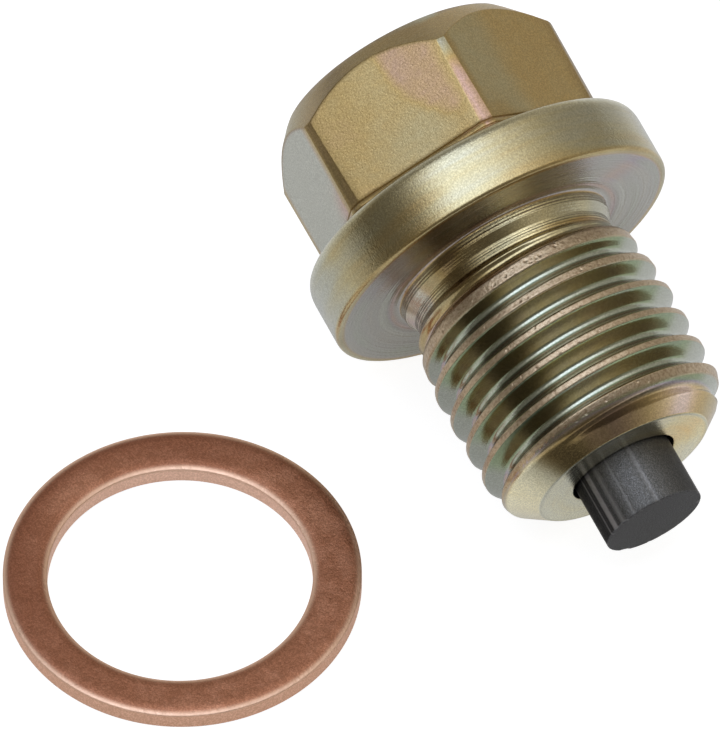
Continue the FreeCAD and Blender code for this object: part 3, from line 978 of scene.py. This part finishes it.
def paint_head(coat, steel):
    """The head: every flat has its own tints with painted shade and highlights, and the strips on its corners
    are paler, with painted shade and dark painted lines of their own.
    """
    lay, shade, facing = coat.lay, coat.shade, coat.facing
    along, radius, bearing = coat.along, coat.radius, coat.bearing
    turn = math.degrees(steel.corner_turn)
    half_flats = steel.across_flats / 2 / MM
    from_flat = (bearing - turn) % 60 - 30
    beside = radius * np.sin(np.radians(from_flat))
    up = along + steel.flange_thickness / MM
    head = step(-up, 0.0, 0.02)
    lay(head, 0.46, 0.04)
    # Each flat gets its own tint and its own painted shade, below 0 a painted highlight
    for middle, film, dull_and_painted_shade in zip((FLAT_ABOVE, FLAT_RIGHT, FLAT_LEFT, *FLATS_BELOW),
                                  (0.43, 0.47, 0.3, 0.4, 0.35, 0.5), (0.0, 0.02, -0.05, 0.05, 0.0, 0.05)):
        apart = np.abs((bearing - middle + 180) % 360 - 180)
        lay(head * fall(apart, 26, 30), film, dull_and_painted_shade)
    top = head * fall(np.abs(bearing - FLAT_ABOVE), 24, 28)
    # The flat above: a painted highlight down its middle and a patch of painted highlight
    lay(top, 0.46, 0.02)
    lay(0.8 * top * hump(beside, -0.4, 2.0), 0.41, -0.12)
    lay(0.8 * top * hump(up, -1.8, 1.2) * hump(beside, -0.4, 2.2), 0.34, 0.0)
    patch = fall(np.hypot((beside + 3.7) / 3.1, (up + 5.8) / 4.2), 0.9, 1.08)
    lay(0.95 * top * patch, 0.585, -0.12)
    # The right flat: painted highlights, with a small patch of painted shade near the flange
    side = head * fall(np.abs(bearing - FLAT_RIGHT), 24, 28)
    lay(side, 0.44, -0.18)
    lay(side * step(beside, 0.0, 1.5), 0.33, -0.1)
    lay(0.6 * side * hump(up, -0.9, 0.8) * hump(beside, 2.6, 1.2), 0.50, 0.05)
    # The left flat: near bare zinc, slightly brightened by a painted highlight
    left = head * fall(np.abs(bearing - FLAT_LEFT), 24, 28)
    lay(left, 0.66, -0.1, 0.95)
    lay(left * hump(up, -1.1, 0.9) * hump(beside, -3.0, 1.0), 0.66, -0.1, 0.1)
    arc = up + steel.hex_height / MM - (radius - steel.end_face / 2 / MM) * math.tan(steel.end_slope)
    chamfer = head * np.maximum(fall(arc, 0.0, 0.04), step(-up, 6.98, 6.995))
    # The chamfer: painted shade at some bearings and painted highlights at others
    grey = step(bearing, 55, 95)
    lay(chamfer, 0.42 - 0.34 * grey, 0.09 - 0.22 * grey)
    lay(0.9 * chamfer * facing(45, 9), 0.46, 0.48)
    lay(0.6 * chamfer * fall(bearing, -20, 0), 0.44, -0.12)
    corner = np.abs(np.abs(from_flat) - 30)
    strip = head * (1 - chamfer) * step(half_flats - radius * np.cos(np.radians(from_flat)), 0.004, 0.02)
    top_corner = fall(np.abs(bearing - turn), 8, 12)
    # The corner strips: painted shade over them, and a painted highlight on the top corner's strip towards
    # the flange
    lay(strip, 0.47, 0.42)
    lay(strip * top_corner, 0.10 + 0.56 * step(up, -5.2, -3.4), -0.05 - 0.35 * step(up, -5.2, -3.0))
    # Painted shade as thin dark lines along the strips' edges and the chamfer's edge
    edge = hump(corner, 3.0, 0.4) * step(-up, 0.7, 0.8) * fall(-up, 5.6, 5.9)
    lay(0.5 * head * edge * (1 - top_corner), 0.46, 0.5)
    lay(0.7 * head * hump(arc, 0.05, 0.07) * step(bearing, -4, 4), 0.46, 0.45)
    # Painted shade as two dark lines in the foot's groove, and a painted highlight on the foot, strongest
    # past bearing 15
    foot_line = -steel.foot_height / MM
    lay(0.7 * head * hump(up, foot_line - 0.04, 0.04), 0.46, 0.3)
    lay(0.5 * head * hump(up, foot_line + 0.225, 0.04), 0.46, 0.2)
    foot = head * step(up, foot_line + 0.3, -0.15)
    lay(foot, 0.40 - 0.08 * step(bearing, 0, 15), -0.1 - 0.6 * step(bearing, 0, 15))
    # Painted shade on the strip near bearing 59 towards the flange, and a painted highlight on it towards the
    # head's end
    shade(strip * facing(59, 12), 0.16 * step(up, -4.5, -2.5) - 0.08)


def paint_flange(coat, steel):
    """The flange's rim, its seal face and the neck, with painted highlights and painted shade by bearing."""
    lay, shade, facing = coat.lay, coat.shade, coat.facing
    along, radius, bearing = coat.along, coat.radius, coat.bearing
    inner_r = steel.collar_diameter / 2 / MM
    rim_r = steel.flange_diameter / 2 / MM
    low = steel.neck_length / MM
    back = steel.flange_thickness / MM
    rim = step(radius, rim_r - 0.9, rim_r - 0.5) * step(along, -back - 0.01, -back + 0.02)
    # The rim: tints by bearing, with a slight painted highlight near bearing 17
    silver = np.clip(facing(96, 30) + facing(-80, 22), 0, 1)
    lay(rim, 0.33 - 0.27 * silver)
    lay(0.8 * rim * facing(17, 14), 0.22, -0.05)
    lay(0.6 * rim * facing(47, 14), 0.33, 0.0)
    lay(0.45 * rim * facing(68, 7) * step(-along, 0.8, 2.4), 0.34, 0.0)
    lay(0.6 * rim * facing(-30, 20), 0.20, 0.0)
    # Painted highlights on the front and back rounded edges of the rim
    edge = hump(along, -steel.rim_front / MM * 0.4, 0.13) * rim
    lay(0.7 * edge, 0.42 + 0.16 * facing(100, 14), -0.12)
    back_edge = hump(along, -back + 0.2, 0.22) * rim
    lay(0.7 * back_edge, 0.18, -0.36 - 0.5 * facing(-60, 35))
    # Painted shade on the rim at four bearings, its two ends among them
    ends = facing(-75, 12) + facing(-45, 6) + facing(61, 7) + 1.3 * facing(103, 7)
    shade(rim * np.minimum(ends, 1.3), 0.17)
    face = step(along, -0.06, -0.02) * fall(along, 0.03, 0.1) * fall(radius, rim_r - 0.4, rim_r - 0.2)
    fillet = step(along, -0.02, 0.0) * fall(along, 0.1, 0.2) * hump(radius, inner_r - 0.08, 0.08)
    # The seal face: slight painted shade, with a painted highlight near bearing 8
    lay(face, 0.765, 0.06, 0.82)
    lay(0.9 * face * fall(np.abs(bearing - 22), 46, 60), 0.73, 0.06, 0.62)
    lay(0.95 * face * facing(8, 9), None, -0.6, 0.9)
    lay(0.75 * face * hump(radius, inner_r + 0.42, 0.16), 0.68, 0.05, 0.15)
    lay(0.5 * face * hump(radius, inner_r + 0.95, 0.12), None, -0.1, 0.95)
    lay(0.5 * face * facing(-52, 8) * step(radius, inner_r + 0.4, inner_r + 1.0), 0.67, 0.0)
    # A painted highlight on the fillet
    lay(0.8 * fillet, 0.66, -0.2)
    neck = step(along, 0.12, 0.2) * fall(along, low + 0.35, low + 0.6)
    # The neck: a strong painted highlight near bearing -3, painted shade near 22, 45 and 88, and painted
    # highlights near -28 and at the left end
    lay(neck, 0.30, 0.0)
    lay(0.95 * neck * facing(-3, 14), 0.26, -1.0)
    lay(0.9 * neck * facing(22, 10), 0.36, 0.3)
    lay(0.9 * neck * step(bearing, 62, 72), 0.60, -0.3, 0.92)
    lay(0.9 * neck * facing(88, 4), None, 0.35, 0.2)
    lay(0.8 * neck * facing(102, 9) * step(along, 0.4, 0.7), 0.66, -0.05, 0.15)
    lay(0.9 * neck * facing(45, 12), 0.5, 0.5)
    lay(0.9 * neck * facing(-28, 14), 0.24, -0.25)
    lay(0.8 * neck * fall(bearing, -50, -35), 0.34, 0.0, 0.75)
    lay(0.8 * neck * hump(along, 1.35, 0.15) * facing(-40, 30), 0.64, 0.0)


def paint_shank(coat, steel):
    """The thread: olive on the sides towards the tip, rosy on the others, and bright at its roots with a
    painted highlight, with painted shade and highlights by bearing.
    """
    lay, shade, facing = coat.lay, coat.shade, coat.facing
    along, radius, bearing = coat.along, coat.radius, coat.bearing
    pitch = steel.pitch / MM
    low = steel.neck_length / MM
    phase = ((along - steel.crest_at_top / MM) / pitch - bearing / 360) % 1.0
    thread = step(along, low + 0.6, low + 1.0) * fall(along, 10.35, 10.6)
    lay(thread, 0.92 - 0.04 * hump(phase, 0.12, 0.09), 0.0)
    # A painted highlight at the roots, which are paler
    lay(thread * step(phase, 0.38, 0.45), None, -0.2, 0.75)
    lay(thread * step(phase, 0.54, 0.60), 0.63, 0.0)
    lay(0.7 * thread * step(phase, 0.80, 0.86), 0.40, 0.05)
    # Painted shade on the left ends of the flanks
    left = thread * step(bearing, 78, 92)
    ahead = fall(phase, 0.36, 0.44)
    lay(left * ahead, None, 0.2, 0.85)
    lay(0.7 * left * (1 - ahead), 0.5, 0.1)
    # Bare zinc at the right ends, with slight painted shade
    right = thread * fall(bearing, -58, -44)
    lay(right, None, 0.0, 0.85)
    lay(0.7 * right * step(phase, 0.5, 0.6), 0.6, 0.1, 0.2)
    # Painted shade on the flanks near bearing 43 and a painted highlight near bearing -4
    shade(thread * ahead, 0.28 * facing(43, 16) - 0.24 * facing(-4, 14))
    cone = step(along, 10.45, 10.65)
    lay(0.8 * hump(along, 10.5, 0.1), None, 0.0, 0.8)
    # The tip's chamfer: painted highlights at two bearings and painted shade near bearing 15
    lay(cone, 0.40, 0.0)
    lay(0.9 * cone * step(bearing, 48, 62), 0.25, -1.05, 0.25)
    lay(0.95 * cone * facing(15, 27), 0.57, 0.72)
    lay(0.9 * cone * facing(-32, 14), 0.66, -0.95, 0.4)
    end = step(along, 11.50, 11.54) * step(radius, 2.4, 2.6)
    # The end face: painted highlights
    lay(end, 0.12, -1.05)
    lay(0.6 * end * facing(-60, 40), 0.60, -0.95)
    lay(0.7 * end * hump(radius, steel.tip_face / 2 / MM, 0.1), 0.1, -0.3)


def settle(name):
    """Removes an earlier object of the same name."""
    old = bpy.data.objects.get(name)
    if old is not None:
        bpy.data.objects.remove(old)


class DRAINPLUG_OT_steel(bpy.types.Operator):
    """Make the steel plug with its hexagon, flange and thread"""
    bl_idname = "drainplug.steel"
    bl_label = "Steel plug"

    def execute(self, context):
        steel = context.scene.drain_plug_steel
        settle("plug_steel")
        matrix = plug_matrix(steel)
        groups = shared_groups()
        forged = zinc_material("passivated_flats", groups, matrix, lines=11.0, drift=9.0, line_depth=0.006,
                               patches=0.06, patch_size=0.34, streak_share=0.02, roughness=(0.34, 0.40),
                               speckle_size=9.0, speckle_depth=0.012)
        turned = zinc_material("passivated_turning", groups, matrix, lines=7.0, drift=1.0, line_depth=0.006,
                               patches=0.07, patch_size=0.40, streak_share=0.10, roughness=(0.19, 0.26),
                               speckle_size=8.0, speckle_depth=0.009)
        rolled = zinc_material("passivated_thread", groups, matrix, lines=9.0, drift=3.0, line_depth=0.003,
                               patches=0.06, patch_size=0.50, streak_share=0.04, roughness=(0.17, 0.24),
                               speckle_size=8.0, speckle_depth=0.003)
        bare = bore_material(groups, matrix)
        turning = turned_tree()
        winding = thread_tree()
        round_values = {"Steps": steel.steps, "Turns": 1}
        flange = wind("flange", flange_profile(steel), turning, round_values, turned)
        thread = wind("thread", groove_profile(steel), winding, thread_values(steel), rolled)
        tip, hole = tip_outlines(steel)
        end = wind("tip", tip, turning, round_values, turned)
        bore = wind("hole", hole, turning, round_values, bare)
        parts = ((head_mesh(steel), forged), (flange, turned), (thread, rolled), (end, turned), (bore, bare))
        piece = join_meshes("plug_steel", parts, matrix)
        paint_steel(piece, steel, matrix)
        keep_faces_flat(piece)
        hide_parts("plug_body")
        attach(piece, "root")
        return {"FINISHED"}


class DRAINPLUG_OT_magnet(bpy.types.Operator):
    """Make the magnet that stands out of the plug's tip"""
    bl_idname = "drainplug.magnet"
    bl_label = "Magnet"

    def execute(self, context):
        steel = context.scene.drain_plug_steel
        magnet = context.scene.drain_plug_magnet
        settle("magnet_slug")
        matrix = plug_matrix(steel)
        material = magnet_material(shared_groups(), matrix)
        high = steel.shank_length + magnet.stands_out
        low = high - magnet.total
        radius = magnet.diameter / 2
        corner = radius - 0.25 * MM
        side = [(corner, low), (radius, low), (radius, high), (corner, high)]
        outline = soften(side, (magnet.edge, magnet.edge), segments=5)
        inner = [(corner * share, low) for share in (0.0, 0.35, 0.7)]
        outer = [(corner * share, high) for share in (0.7, 0.35, 0.0)]
        # The lower edge runs into the wall in fine steps
        wall = stretch(outline[5], outline[6], 24)
        points = inner + outline[:6] + wall + outline[7:] + outer
        mesh = wind("magnet", points, turned_tree(), {"Steps": magnet.steps, "Turns": 1}, material)
        piece = join_meshes("magnet_slug", ((mesh, material),), matrix)
        self.chip(piece, matrix, radius / MM, high / MM)
        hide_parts("magnet")
        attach(piece, "root")
        return {"FINISHED"}

    def chip(self, piece, matrix, radius, high):
        """Breaks small chips out of the free edge, and stores a painted sheen on the side."""
        local = own_points(piece.data, matrix)
        reach, bearing = polar(local)
        near = hump(local[:, 2], high, 0.16) * hump(reach, radius, 0.16)
        chips = near * np.clip(1.2 * grain_at(local, 2.3) + 0.9 * grain_at(local, 7.0) - 0.35, 0, 0.5)
        local[:, 2] -= 0.07 * chips
        shrink = 1 - 0.06 * chips / np.maximum(reach, 0.1)
        local[:, 0] *= shrink
        local[:, 1] *= shrink
        place_points(piece.data, local, matrix)
        store(piece.data, "chips", np.clip(chips * 3, 0, 1))
        # A painted sheen on the side, brightest between bearings 0 and 30, none past 72
        store(piece.data, "rubbed", fall(bearing, 30, 72) * (0.6 + 0.4 * step(bearing, -40, 0)))
        store(piece.data, "side", 1 - step(local[:, 2], high - 0.1, high - 0.03) * (1 - chips))


def grain_at(local, fineness):
    """Smooth noise at every point, about 0."""
    return np.array([noise.noise(Vector(point) * fineness) for point in local])


def place_points(mesh, local, matrix):
    """Writes points given in a piece's own axes, in millimetres, back to its mesh."""
    forward = np.array(matrix)
    points = (local * MM) @ forward[:3, :3].T + forward[:3, 3]
    mesh.vertices.foreach_set("co", points.reshape(-1))
    mesh.update()


# Bearings where the washer's face is lighter, and the direction in which it grows lighter
LIGHTER_BEARINGS = (-164, 106)
BRIGHT_SIDE = (0.925, 0.38)


class DRAINPLUG_OT_washer(bpy.types.Operator):
    """Make the copper sealing washer"""
    bl_idname = "drainplug.washer"
    bl_label = "Sealing washer"

    def execute(self, context):
        washer = context.scene.drain_plug_washer
        settle("copper_washer")
        matrix = washer_matrix()
        material = copper_material(shared_groups(), matrix)
        inner, outer, tall = washer.bore / 2, washer.outside / 2, washer.thickness
        wall_top = tall - washer.shoulder_drop
        middle = (inner + outer) / 2
        corners = [(middle, 0), (outer, 0), (outer, wall_top), (outer - 0.06 * MM, wall_top + 0.025 * MM)]
        points = soften(corners, (washer.edge, 0.03 * MM), segments=5)
        points += self.shoulder(outer, -1, washer) + self.shoulder(inner, 1, washer)[::-1]
        corners = [(inner + 0.06 * MM, wall_top + 0.025 * MM), (inner, wall_top), (inner, 0), (middle, 0)]
        points += soften(corners, (0.03 * MM, washer.edge), segments=5)
        points = self.fill(points, 0.12 * MM)
        mesh = wind("washer", points, turned_tree(), {"Steps": washer.steps, "Turns": 1}, material)
        piece = join_meshes("copper_washer", ((mesh, material),), matrix)
        self.settle_shape(piece, matrix, washer)
        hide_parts("sealing_washer")
        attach(piece, "root")
        return {"FINISHED"}

    def shoulder(self, edge_r, side, washer):
        """Points of the arc from near a wall up to the flat top."""
        width, drop = washer.shoulder_width, washer.shoulder_drop
        radius = (width ** 2 + drop ** 2) / (2 * drop)
        flat_r = edge_r + side * width
        full = math.asin(width / radius)
        return [np.array((flat_r - side * radius * math.sin(turn),
                          washer.thickness - radius * (1 - math.cos(turn))))
                for turn in full * np.linspace(0.86, 0.0, 9)]

    def fill(self, points, reach):
        """Adds points where two stand far apart."""
        filled = [points[0]]
        for before, after in zip(points, points[1:]):
            count = max(1, round(float(np.linalg.norm(after - before)) / reach))
            filled += stretch(before, after, count)
        return filled

    def settle_shape(self, piece, matrix, washer):
        """Sets the punched hole a little off centre, and leaves the faces slightly uneven."""
        local = own_points(piece.data, matrix)
        inner, outer = washer.bore / 2 / MM, washer.outside / 2 / MM
        high = washer.thickness / MM
        share = np.clip((outer - polar(local)[0]) / (outer - inner), 0, 1)
        hole = MOUNTS["washer_bore"]["pos_m"]
        local[:, 0] += (hole[0] - matrix.translation.x) / MM * share
        local[:, 1] += (hole[1] - matrix.translation.y) / MM * share
        flat = step(local[:, 2], 0.6 * high, high) * step(share, 0.02, 0.2) * fall(share, 0.8, 0.98)
        local[:, 2] += flat * (0.012 * grain_at(local, 0.35) + 0.008 * grain_at(local, 1.6) - 0.008)
        place_points(piece.data, local, matrix)
        crests = np.maximum(hump(share, 0.03, 0.06), hump(share, 0.97, 0.06)) * step(local[:, 2], 0.6, 0.85)
        walls = np.maximum(hump(share, 0.0, 0.006), hump(share, 1.0, 0.006)) * fall(local[:, 2], 0.7, 0.85)
        store(piece.data, "worn_edge", crests)
        store(piece.data, "sheared", walls)
        store(piece.data, "outside", np.where(share < 0.5, 1.0, 0.0))
        # The face is darker brown away from BRIGHT_SIDE, and lighter at two bearings
        bearing = polar(local)[1]
        lighter = 0.9 * hump((bearing - LIGHTER_BEARINGS[0] + 180) % 360 - 180, 0, 30)
        lighter += 0.5 * hump(bearing, LIGHTER_BEARINGS[1], 28)
        brown = 0.5 - (local[:, :2] @ BRIGHT_SIDE) / (2 * outer)
        store(piece.data, "patina", np.clip(brown - lighter * hump(share, 0.68, 0.34), 0, 1))


class DRAINPLUG_OT_stage(bpy.types.Operator):
    """Set the floor, the lamps and the camera"""
    bl_idname = "drainplug.stage"
    bl_label = "Stage"

    def execute(self, context):
        stage = context.scene.drain_plug_stage
        steel = context.scene.drain_plug_steel
        matrix = plug_matrix(steel)
        context.scene.view_settings.view_transform = "Standard"
        self.make_camera(context, stage, matrix.translation)
        self.make_floor()
        self.make_world(context, stage, matrix)
        return {"FINISHED"}

    def make_camera(self, context, stage, aim):
        """Puts the camera where the photograph was taken from."""
        azimuth, elevation = stage.camera_azimuth, stage.camera_elevation
        right = Vector((math.cos(azimuth), math.sin(azimuth), 0))
        forward = Vector((-math.sin(azimuth) * math.cos(elevation),
                          math.cos(azimuth) * math.cos(elevation), -math.sin(elevation)))
        up = right.cross(forward)
        settle("camera")
        data = bpy.data.cameras.new("camera")
        data.sensor_fit = "HORIZONTAL"
        data.sensor_width = SENSOR
        per_metre = stage.pixels_per_mm / MM
        data.lens = stage.pixels_per_mm * stage.camera_distance / MM * SENSOR / IMAGE[0]
        data.clip_start = 0.01
        data.clip_end = 20.0
        camera = bpy.data.objects.new("camera", data)
        aside = (AIM[0] - IMAGE[0] / 2) / per_metre
        below = (AIM[1] - IMAGE[1] / 2) / per_metre
        middle = aim - right * aside + up * below
        place = middle - forward * stage.camera_distance
        camera.matrix_world = Matrix((
            (right.x, up.x, -forward.x, place.x),
            (right.y, up.y, -forward.y, place.y),
            (right.z, up.z, -forward.z, place.z),
            (0, 0, 0, 1)))
        context.scene.collection.objects.link(camera)
        context.scene.camera = camera

    def make_floor(self):
        """A wide floor: white to the camera but for its shadows, and a darker grey in the metal, with painted
        shade ahead of the tip that only the metal shows.
        """
        settle("floor")
        half = 3.0
        mesh = bpy.data.meshes.new("floor")
        mesh.from_pydata([(-half, -half, 0), (half, -half, 0), (half, half, 0), (-half, half, 0)], [],
                         [(0, 1, 2, 3)])
        floor = bpy.data.objects.new("floor", mesh)
        bpy.context.scene.collection.objects.link(floor)
        material = bpy.data.materials.new("pale_floor")
        material.use_nodes = True
        tree = material.node_tree
        tree.nodes.clear()
        spot = add(tree, "ShaderNodeTexCoord").outputs["Object"]
        away = add(tree, "ShaderNodeVectorMath", {0: spot}, operation="LENGTH").outputs["Value"]
        # Painted shade on the floor ahead of the tip, seen only in the metal
        shade_patch = add(tree, "ShaderNodeVectorMath", {0: spot, 1: SHADE_PATCH_PLACE}, operation="DISTANCE")
        clear = remap(tree, shade_patch.outputs["Value"], *SHADE_PATCH_EDGE, SHADE_PATCH_LEVEL, 1.0, smooth=True)
        shade = calc(tree, "MULTIPLY", clear, FLOOR_MIRRORED)
        level = calc(tree, "MULTIPLY", clear, remap(tree, away, *GLOW_REACH, *GLOW_LEVELS))
        matt = self.surface(tree, FLOOR_MATT)
        path = add(tree, "ShaderNodeLightPath").outputs
        gloss = calc(tree, "MAXIMUM", path["Is Glossy Ray"], path["Is Transmission Ray"])
        lit = add(tree, "ShaderNodeMixShader", {0: gloss, 1: matt, 2: self.surface(tree, shade, level)})
        mixed = add(tree, "ShaderNodeMixShader", {0: path["Is Camera Ray"], 1: lit.outputs[0],
                                                  2: self.surface(tree, *FLOOR_SEEN)})
        add(tree, "ShaderNodeOutputMaterial", {"Surface": mixed.outputs[0]})
        mesh.materials.append(material)

    def surface(self, tree, grey, glow=None):
        """A matt grey surface, with a glow of its own where one is given."""
        tone = add(tree, "ShaderNodeCombineColor", {"Red": grey, "Green": grey, "Blue": grey})
        matt = add(tree, "ShaderNodeBsdfDiffuse", {"Color": tone.outputs[0]}).outputs[0]
        if glow is None:
            return matt
        light = add(tree, "ShaderNodeEmission", {"Color": (1.0, 1.0, 1.0, 1.0), "Strength": glow})
        return add(tree, "ShaderNodeAddShader", {0: matt, 1: light.outputs[0]}).outputs[0]

    def make_world(self, context, stage, matrix):
        """The studio round the object: white to the camera, and its lamp and walls in the metal."""
        world = bpy.data.worlds.new("studio")
        world.use_nodes = True
        context.scene.world = world
        tree = world.node_tree
        tree.nodes.clear()
        look = add(tree, "ShaderNodeTexCoord").outputs["Generated"]
        across, upward, lengthways = [
            add(tree, "ShaderNodeVectorMath", {0: look, 1: axis}, operation="DOT_PRODUCT").outputs["Value"]
            for axis in view_axes(stage, matrix)]
        share = remap(tree, calc(tree, "ARCTAN2", upward, across), -math.pi, math.pi, 0.0, 1.0)
        lamp = self.band(tree, share, LAMP_BAND, stage.softbox_level)
        walls = self.band(tree, share, WALL_BAND, 1.0)
        window = calc(tree, "MULTIPLY", remap(tree, lengthways, *LAMP_START, 0.0, 1.0, smooth=True),
                      remap(tree, lengthways, *LAMP_END, 1.0, 0.0, smooth=True))
        lit = blend_colour(tree, window, walls, lamp)
        behind = remap(tree, lengthways, *BEHIND_HEAD, 1.0, 0.0, smooth=True)
        whole = blend_colour(tree, behind, lit, (stage.wall_mid,) * 3)
        studio = add(tree, "ShaderNodeBackground", {"Color": whole})
        white = add(tree, "ShaderNodeBackground", {"Color": (1, 1, 1, 1)})
        direct = add(tree, "ShaderNodeLightPath").outputs["Is Camera Ray"]
        mixed = add(tree, "ShaderNodeMixShader", {0: direct, 1: studio.outputs[0], 2: white.outputs[0]})
        add(tree, "ShaderNodeOutputWorld", {"Surface": mixed.outputs[0]})
        world.cycles.sampling_method = "MANUAL"
        world.cycles.sample_map_resolution = 1024

    def band(self, tree, share, stops, level):
        """Radiance round the plug's axis, from (angle, level, warmth) stops."""
        made = [((angle + 180) / 360, tuple(part * bright / HEADROOM for part in lamp_tint(warmth)))
                for angle, bright, warmth in stops]
        scaled = add(tree, "ShaderNodeVectorMath", {0: ramp(tree, share, made), "Scale": HEADROOM * level},
                     operation="SCALE")
        return scaled.outputs[0]


def lamp_tint(warmth):
    """A nearly white colour, warm above 0 and cool below it."""
    return (1 + 0.12 * warmth, 1.0, 1 - 0.25 * warmth)


# A ramp holds colours up to 1, so its levels are stored as a share of this
HEADROOM = 2.0
# Angle round the plug's axis, level and warmth: where the lamp stands, and past its two ends
LAMP_BAND = (
    (-180, 0.21, 0.0), (-120, 0.30, 0.0), (-60, 0.42, 0.0), (-20, 0.20, 0.3), (8, 0.22, 0.3),
    (22, 0.26, 0.3), (34, 0.36, 0.2), (46, 0.49, 0.0), (60, 0.76, -0.4), (74, 0.98, -0.8),
    (98, 1.12, -0.9), (106, 0.86, -0.5), (114, 0.39, 0.1), (124, 0.15, 0.3), (134, 0.09, 0.4),
    (162, 0.08, 0.4), (172, 0.14, 0.2), (180, 0.21, 0.0),
)
WALL_BAND = (
    (-180, 0.5, 0.0), (-60, 0.9, 0.0), (-20, 0.45, 0.4), (20, 0.38, 0.4), (50, 0.24, 0.4), (70, 0.2, 0.4),
    (110, 0.18, 0.4), (158, 0.17, 0.6), (168, 0.42, 0.3), (180, 0.5, 0.0),
)


def view_axes(stage, matrix):
    """Axes of the light: across the plug, towards the camera, and along the plug."""
    along = Vector(matrix.col[2][:3])
    azimuth, elevation = stage.camera_azimuth, stage.camera_elevation
    back = Vector((math.sin(azimuth) * math.cos(elevation), -math.cos(azimuth) * math.cos(elevation),
                   math.sin(elevation)))
    front = (back - along * back.dot(along)).normalized()
    return front.cross(along), front, along


# Where the lamp starts and ends along the plug, and the wall behind the head, as cosines to its axis
LAMP_START = (-0.74, -0.50)
LAMP_END = (0.02, 0.20)
BEHIND_HEAD = (-0.97, -0.80)
# Greys of the floor: to soft light, to the camera with its glow, and in the metal with its glow and reach
FLOOR_MATT = 0.80
FLOOR_SEEN = (0.35, 0.9)
FLOOR_MIRRORED = 0.67
GLOW_LEVELS = (0.36, 0.08)
GLOW_REACH = (0.03, 0.30)
# Painted shade on the floor ahead of the tip, which only the metal shows: its place, its soft edge and its
# shade
SHADE_PATCH_PLACE = (0.031, 0.009, 0.0)
SHADE_PATCH_EDGE = (0.012, 0.024)
SHADE_PATCH_LEVEL = 0.12
# The sensor's width in millimetres, the picture's size, and where the seal face's centre shows in it
SENSOR = 36.0
IMAGE = (720, 729)
AIM = (502.4, 256.6)


class DRAINPLUG_PT_panel(bpy.types.Panel):
    """Buttons for each piece of the drain plug"""
    bl_idname = "DRAINPLUG_PT_panel"
    bl_label = "Drain Plug"
    bl_space_type = "VIEW_3D"
    bl_region_type = "UI"
    bl_category = "Drain Plug"

    def draw(self, context):
        for group, operator in SECTIONS:
            box = self.layout.box()
            box.operator(operator)
            values = getattr(context.scene, group)
            for name in values.bl_rna.properties.keys():
                if name not in ("rna_type", "name"):
                    box.prop(values, name)


SECTIONS = (
    ("drain_plug_steel", DRAINPLUG_OT_steel.bl_idname),
    ("drain_plug_magnet", DRAINPLUG_OT_magnet.bl_idname),
    ("drain_plug_washer", DRAINPLUG_OT_washer.bl_idname),
    ("drain_plug_stage", DRAINPLUG_OT_stage.bl_idname),
)
SETTINGS = {
    "drain_plug_steel": DrainPlugSteel,
    "drain_plug_magnet": DrainPlugMagnet,
    "drain_plug_washer": DrainPlugWasher,
    "drain_plug_stage": DrainPlugStage,
}
CLASSES = (
    DrainPlugSteel, DrainPlugMagnet, DrainPlugWasher, DrainPlugStage, DRAINPLUG_OT_steel, DRAINPLUG_OT_magnet,
    DRAINPLUG_OT_washer, DRAINPLUG_OT_stage, DRAINPLUG_PT_panel,
)


def register():
    """Adds the classes and their settings."""
    for made in CLASSES:
        bpy.utils.register_class(made)
    for name, made in SETTINGS.items():
        setattr(bpy.types.Scene, name, PointerProperty(type=made))


def unregister():
    """Takes the settings and the classes away."""
    for name in SETTINGS:
        delattr(bpy.types.Scene, name)
    for made in reversed(CLASSES):
        bpy.utils.unregister_class(made)


def main():
    """Makes every piece and the stage."""
    register()
    bpy.ops.drainplug.steel()
    bpy.ops.drainplug.magnet()
    bpy.ops.drainplug.washer()
    bpy.ops.drainplug.stage()


if __name__ == "__main__":
    main()
